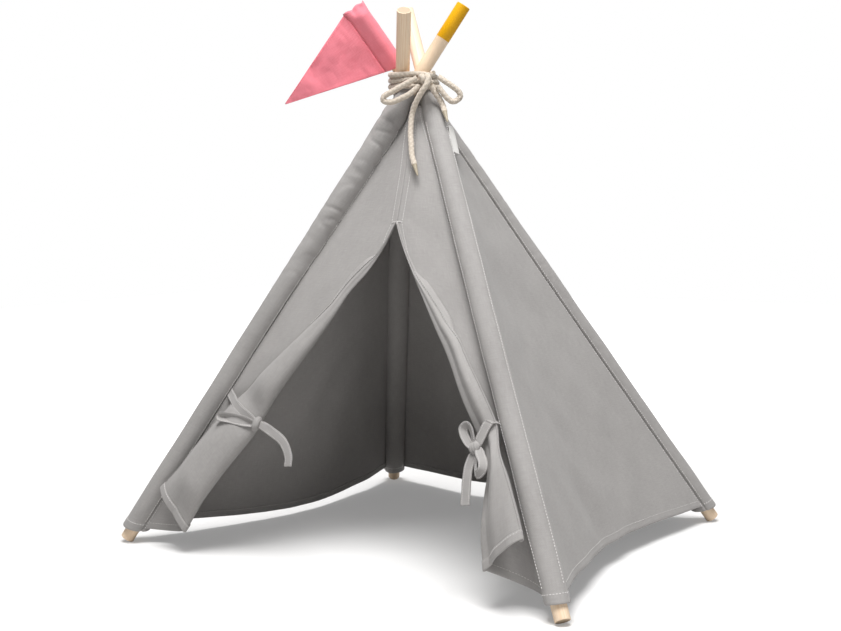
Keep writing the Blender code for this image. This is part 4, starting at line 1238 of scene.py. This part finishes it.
# ---------------------------------------------------------------------------
# Ties: tapes of the same cotton, 10.8 mm wide, folded lengthways and sewn along both
# edges, caught at the sleeve seams and tied round the rolled flaps in a half bow.
# ---------------------------------------------------------------------------
TAPE = 0.0108
LOOP_TURN = math.radians(47)
LEFT_KNOT = Vector((-0.1249, -0.2282, 0.1723))
RIGHT_KNOT = Vector((0.2043, -0.2262, 0.1720))
LEFT_HELD, RIGHT_HELD = 0.353, 0.338
LEFT_BOW = (
    (-0.1257, -0.2285, 0.1728), (-0.1300, -0.2295, 0.1738), (-0.1400, -0.2315, 0.1768), (-0.1600, -0.2335, 0.1796),
    (-0.1770, -0.2345, 0.1798), (-0.1822, -0.2352, 0.1780), (-0.1790, -0.2358, 0.1762), (-0.1620, -0.2350, 0.1748),
    (-0.1420, -0.2328, 0.1722), (-0.1310, -0.2305, 0.1708), (-0.1257, -0.2285, 0.1712),
)
LEFT_END = (
    (-0.1237, -0.2283, 0.1722), (-0.1180, -0.2284, 0.1717), (-0.0985, -0.2317, 0.1659), (-0.0745, -0.2365, 0.1555),
    (-0.0625, -0.2407, 0.1398), (-0.0607, -0.2439, 0.1269),
)
RIGHT_HIGH_BOW = (
    (0.2029, -0.2256, 0.1741), (0.2007, -0.2242, 0.1776), (0.1989, -0.2230, 0.1845), (0.1948, -0.2206, 0.1920),
    (0.1890, -0.2191, 0.1958), (0.1844, -0.2204, 0.1918), (0.1872, -0.2226, 0.1848), (0.1922, -0.2244, 0.1788),
    (0.1973, -0.2254, 0.1742), (0.2024, -0.2261, 0.1721),
)
RIGHT_LOW_BOW = (
    (0.2059, -0.2271, 0.1721), (0.2111, -0.2296, 0.1713), (0.2181, -0.2372, 0.1676), (0.2265, -0.2451, 0.1614),
    (0.2283, -0.2495, 0.1540), (0.2223, -0.2504, 0.1480), (0.2163, -0.2443, 0.1528), (0.2115, -0.2360, 0.1601),
    (0.2081, -0.2294, 0.1662), (0.2054, -0.2271, 0.1701),
)
RIGHT_END = (
    (0.2039, -0.2266, 0.1691), (0.2031, -0.2282, 0.1663), (0.2007, -0.2344, 0.1520), (0.2019, -0.2410, 0.1365),
    (0.2054, -0.2500, 0.1112),
)
TAPE_STEPS, TAPE_ACROSS, TAPE_STAND = 90, 8, 0.0012
TAUT_STEPS, TAUT_LOOK = 16, 0.04
TIE_KNOT_STEPS, TIE_KNOT_SIDES = 24, 40
TAPE_STITCH = {"step": 0.0026, "long": 0.0018, "thick": 0.0004}


def tape_rows(points, edgewise, seed):
    """A tape's grid along its middle line: flat on the front, or on edge where it makes a loop."""
    middle = smooth_path(points, TAPE_STEPS)
    rows = []
    for step, place in enumerate(middle):
        ahead = (middle[min(step + 1, TAPE_STEPS)] - middle[max(step - 1, 0)]).normalized()
        share = step / TAPE_STEPS
        across, narrow = ahead.cross(front).normalized(), 1.12 - 0.30 * smooth_step(share, 0.16, 0.0)
        if edgewise:
            upright = (front - ahead * front.dot(ahead)).normalized()
            across = upright * math.cos(LOOP_TURN) + across * math.sin(LOOP_TURN)
            narrow = 1.0 - 0.30 * (smooth_step(share, 0.16, 0.0) + smooth_step(share, 0.84, 1.0))
        square = ahead.cross(across)
        row = []
        for column in range(TAPE_ACROSS + 1):
            part = column / TAPE_ACROSS - 0.5
            cup = (part * part - 0.08) * 0.0030 * noise.noise(Vector((share * 6, seed, 0))) * 2
            row.append(place + across * TAPE * narrow * part + square * cup)
        rows.append(row)
    return rows


def taut(start, end, which):
    """Places along a strap drawn tight from start to end over the half of the front that lies between them."""
    chord = [start.lerp(end, step / TAUT_STEPS) for step in range(TAUT_STEPS + 1)]
    rises = []
    for place in chord:
        hit = flap_trees[which].ray_cast(place + front * TAUT_LOOK, -front, 2 * TAUT_LOOK)[0]
        rises.append((hit - place).dot(front) + TAPE_STAND if hit else -1.0)
    rises[0] = rises[-1] = 0.0
    laid = []
    for step, place in enumerate(chord):
        high = rises[step]
        for before in range(step):
            for after in range(step + 1, TAUT_STEPS + 1):
                share = (step - before) / (after - before)
                high = max(high, rises[before] * (1 - share) + rises[after] * share)
        laid.append(place + front * high)
    return laid


def tie_piece(name, which, node, points, edgewise, seed, loose_end=False):
    rows = tape_rows(points, edgewise, seed)
    tape = cloth_piece(name, [(rows, None)], grey_cotton)
    lines = []
    for column in (1.2, 6.8):
        track = [(row, column) for row in range(0, len(rows) - (3 if loose_end else 0), 2)]
        if edgewise:
            # A loop on edge shows both its sides
            line = seam_line(rows, track, UP)
            lines += [line, [(place, -facing) for place, facing in line]]
        else:
            lines.append(seam_line(rows, track, front))
    sewn = stitches(name + "_stitches", lines, **TAPE_STITCH)
    for piece in (tape, sewn):
        follow_pole(piece, which)
    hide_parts(node)
    width, length, area = sheet_size(rows)


def tie_knot(name, which, node, middle, size, lean, seed):
    """A tie's knot: a band of tape drawn tight round the crossing tapes, with pinched ends and lengthways creases."""
    right = Vector((1, 0, 0))
    up = front.cross(right)
    up = up if up.z > 0 else -up
    right, up = right * math.cos(lean) + up * math.sin(lean), up * math.cos(lean) - right * math.sin(lean)
    rows = []
    for step in range(TIE_KNOT_STEPS + 1):
        part = step / TIE_KNOT_STEPS * 2 - 1
        full = (1 - abs(part) ** 3.2) ** 0.5 if abs(part) < 1 else 0.02
        row = []
        for side in range(TIE_KNOT_SIDES):
            turn = math.tau * side / TIE_KNOT_SIDES
            crease = 1 - 0.10 * abs(math.sin(part * 7 + 0.7 * math.sin(turn + seed)))
            thick = (0.86 + 0.14 * full) * crease * max(full, 0.05) / 2
            row.append(
                middle
                + right * part * size[0] / 2 * (0.92 + 0.08 * math.cos(2 * turn))
                + up * math.sin(turn) * size[1] * thick
                + front * math.cos(turn) * size[2] * thick
            )
        rows.append(row)
    knot = cloth_piece(name, [(rows, None)], grey_cotton, closed=True)
    follow_pole(knot, which)
    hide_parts(node)


laid = taut(LEFT_KNOT, LEFT.seam(RIGHT, LEFT.reach * LEFT_HELD, stand=TAPE_STAND), LEFT)
tie_piece("tie_tape_left_strap", LEFT, "tie_left_strap", laid, False, 1.5)
tie_piece("tie_tape_left_bow", LEFT, "tie_left_loop", LEFT_BOW, True, 2.5)
tie_piece("tie_tape_left_end", LEFT, "tie_left_tail", LEFT_END, False, 3.5, loose_end=True)
tie_knot("tie_knot_left", LEFT, "tie_left_knot", LEFT_KNOT, (0.0105, 0.0200, 0.0110), -0.35, 1.0)
# The right strap is caught further out than the seam beside the door, so the seam's swing is taken back
held_turn = SEAM_TURN + math.radians(RIGHT.swings["front_left"][0])
laid = taut(RIGHT_KNOT, RIGHT.seam(LEFT, RIGHT.reach * RIGHT_HELD, held_turn, TAPE_STAND), RIGHT)
tie_piece("tie_tape_right_strap", RIGHT, "tie_right_strap", laid, False, 4.5)
tie_piece("tie_tape_right_high_bow", RIGHT, "tie_right_loop_high", RIGHT_HIGH_BOW, True, 5.5)
tie_piece("tie_tape_right_low_bow", RIGHT, "tie_right_loop_low", RIGHT_LOW_BOW, True, 6.5)
tie_piece("tie_tape_right_end", RIGHT, "tie_right_tail", RIGHT_END, False, 7.5, loose_end=True)
tie_knot("tie_knot_right", RIGHT, "tie_right_knot", RIGHT_KNOT, (0.0150, 0.0155, 0.0120), 0.5, 2.0)

# ---------------------------------------------------------------------------
# Label: a small blank white tape, folded double and caught in the outer seam of the
# right front sleeve just below the lashing.
# ---------------------------------------------------------------------------
LABEL_BELOW, LABEL_LENGTH, LABEL_REACH = 0.069, 0.042, 0.013
LABEL_LEAN = math.radians(64)
LABEL_STEPS, LABEL_SIDE, LABEL_THICKNESS = 24, 10, 0.0004

# Woven polyester label tape: clean white, smooth and faintly ribbed, its ribs drawn 0.8 mm apart
RIB_STEP = 0.0008
label_tape, tree, shader = new_material("woven_white_label_tape")
uv = add_node(tree, "ShaderNodeUVMap", uv_map="cloth")
parts = add_node(tree, "ShaderNodeSeparateXYZ", {0: uv})
ribs = add_node(tree, "ShaderNodeMath", {0: parts.outputs["Y"], 1: math.tau / RIB_STEP}, operation="MULTIPLY")
ribs = add_node(tree, "ShaderNodeMath", {0: ribs}, operation="SINE")
tone = add_node(tree, "ShaderNodeMapRange", {"Value": ribs, "From Min": -1.0, "From Max": 1.0})
tone = add_node(tree, "ShaderNodeMix", {0: tone, 6: linear("#C9C7C4"), 7: linear("#D5D3D0")}, data_type="RGBA")
bump = add_node(tree, "ShaderNodeBump", {"Strength": 0.3, "Distance": 0.0001, "Height": ribs})
feed(tree, shader, {"Base Color": tone, "Roughness": 0.6, "Sheen Weight": 0.1, "Normal": bump})

rows = []
for step in range(LABEL_STEPS + 1):
    distance = RIGHT.reach - LABEL_BELOW - LABEL_LENGTH + LABEL_LENGTH * step / LABEL_STEPS
    seam = RIGHT.seam(BACK_RIGHT, distance)
    away = (seam - RIGHT.middle(distance)).normalized()
    out = away * math.cos(LABEL_LEAN) + RIGHT.along.cross(away) * math.sin(LABEL_LEAN)
    square = RIGHT.along.cross(out)
    row = []
    for part in range(-LABEL_SIDE, LABEL_SIDE + 1):
        share = 1 - abs(part) / LABEL_SIDE
        apart = (0.0011 if part < 0 else -0.0011) * (1 - share**4) + 0.0007 * math.sin(share * 3 + step / 7)
        row.append(seam + out * (0.0009 + LABEL_REACH * share) + square * apart)
    rows.append(row)
label = cloth_piece("blank_label", [(rows, None)], label_tape)
label.modifiers["thickness"].thickness = LABEL_THICKNESS
dress(label, "front_right_side", "label_tape", "label")
width, length, _ = sheet_size(rows)

# ---------------------------------------------------------------------------
# Pennant: a triangle of pink cotton with a sewn channel along its short side, pushed
# over the end of the back right pole. It is thin and a little crumpled.
# ---------------------------------------------------------------------------
CHANNEL_LENGTH, OVER_END, CHANNEL_RADIUS, CHANNEL_SEAM = 0.090, 0.018, 0.0102, 0.0178
PENNANT_REACH, PENNANT_TIP, PENNANT_BLUNT = 0.150, 0.54, 0.985
CHANNEL_SLANT = 0.30
CHANNEL_STEPS, CHANNEL_SIDES = 40, 40
PENNANT_STEPS, PENNANT_ACROSS = 56, 72

# Pink cotton: coral pink plain weave in two tones, threads drawn 1.1 mm apart
pink_cotton = woven_cotton("plain_woven_pink_cotton", "#EF8D99", "#E57A88", "#F3A5AE", 0.15)

along = BACK_RIGHT.along
down = (along * along.z - UP).normalized()
square = along.cross(down)
tangent = math.acos(CHANNEL_RADIUS / CHANNEL_SEAM)
high = BACK_RIGHT.end + OVER_END
low = high - CHANNEL_LENGTH
rows = []
for step in range(CHANNEL_STEPS + 1):
    row = []
    for turn_step in range(CHANNEL_SIDES):
        turn = math.tau * turn_step / CHANNEL_SIDES
        off = min(turn, math.tau - turn)
        reach = CHANNEL_RADIUS / math.cos(tangent - off) if off < tangent else CHANNEL_RADIUS
        # Its lower end is cut in line with the triangle's lower edge
        cut = low - CHANNEL_SLANT * (CHANNEL_SEAM - reach * math.cos(turn))
        stop = cut + (high - cut) * step / CHANNEL_STEPS
        reach += 0.0004 * noise.noise(Vector((math.cos(turn), math.sin(turn), stop / 0.012)))
        # Past the pole's end the channel is empty: it falls flat, and its raw edge is ruffled
        empty = smooth_step(stop, BACK_RIGHT.end + 0.001, high)
        flat = square * math.sin(turn) * (1 - 0.72 * empty)
        flat += square * (0.13 * math.sin(off * 3.2 + 0.6) + 0.07 * math.sin(off * 6)) * empty
        ruffle = along * 0.0011 * math.sin(off * 4.3 + 1) * empty**2
        row.append(BACK_RIGHT.at(stop) + ruffle + (down * math.cos(turn) * (1 + 0.12 * empty) + flat) * reach)
    rows.append(row)
channel = cloth_piece("pennant_channel", [(rows, None)], pink_cotton, closed=True)
dress(channel, "pennant_cloth", "pink_cotton", "pennant_sleeve")
width, length, _ = sheet_size([row + [row[0]] for row in rows])

start = down * (CHANNEL_SEAM + 0.0002)
tip_place = BACK_RIGHT.at(high - CHANNEL_LENGTH * PENNANT_TIP) + down * PENNANT_REACH
rows = []
for step in range(PENNANT_STEPS + 1):
    root_place = BACK_RIGHT.at(high - CHANNEL_LENGTH * step / PENNANT_STEPS) + start
    row = []
    for column in range(PENNANT_ACROSS + 1):
        share = PENNANT_BLUNT * column / PENNANT_ACROSS
        place = root_place.lerp(tip_place, share)
        u, v = share * PENNANT_REACH, (step / PENNANT_STEPS - 0.5) * CHANNEL_LENGTH * (1 - share)
        free = smooth_step(share, 0.0, 0.12)
        fold = noise.noise(Vector((u / 0.045, v / 0.05, 91.0))) * 0.0055
        fold += (abs(noise.noise(Vector((u / 0.022 + v / 0.05, v / 0.026 - u / 0.05, 97.0)))) - 0.25) * 0.0018
        fold += noise.noise(Vector((u / 0.009, v / 0.009, 101.0))) * 0.0003
        row.append(place + square * fold * free * (0.35 + 0.65 * min(1, 3 * (1 - share))))
    rows.append(row)
pennant = cloth_piece("pennant_triangle", [(rows, None)], pink_cotton)
dress(pennant, "pennant_cloth", "pink_cotton", "pennant")
width, length, area = sheet_size(rows)
lines = []
for towards in (square, -square):
    lines.append(seam_line(rows, [(row, 1.4) for row in range(PENNANT_STEPS + 1)], towards))
    for row in (2.2, 53.8):
        lines.append(seam_line(rows, [(row, column) for column in range(2, 66)], towards))
# Pink thread: the same polyester, a shade deeper than the pennant
pink_thread = sewing_thread("pink_sewing_thread", "#F58A97", "#E9707F")
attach(stitches("stitches_pennant", lines, step=0.0026, long=0.0019, thread=pink_thread), "pennant_cloth")

low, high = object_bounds()
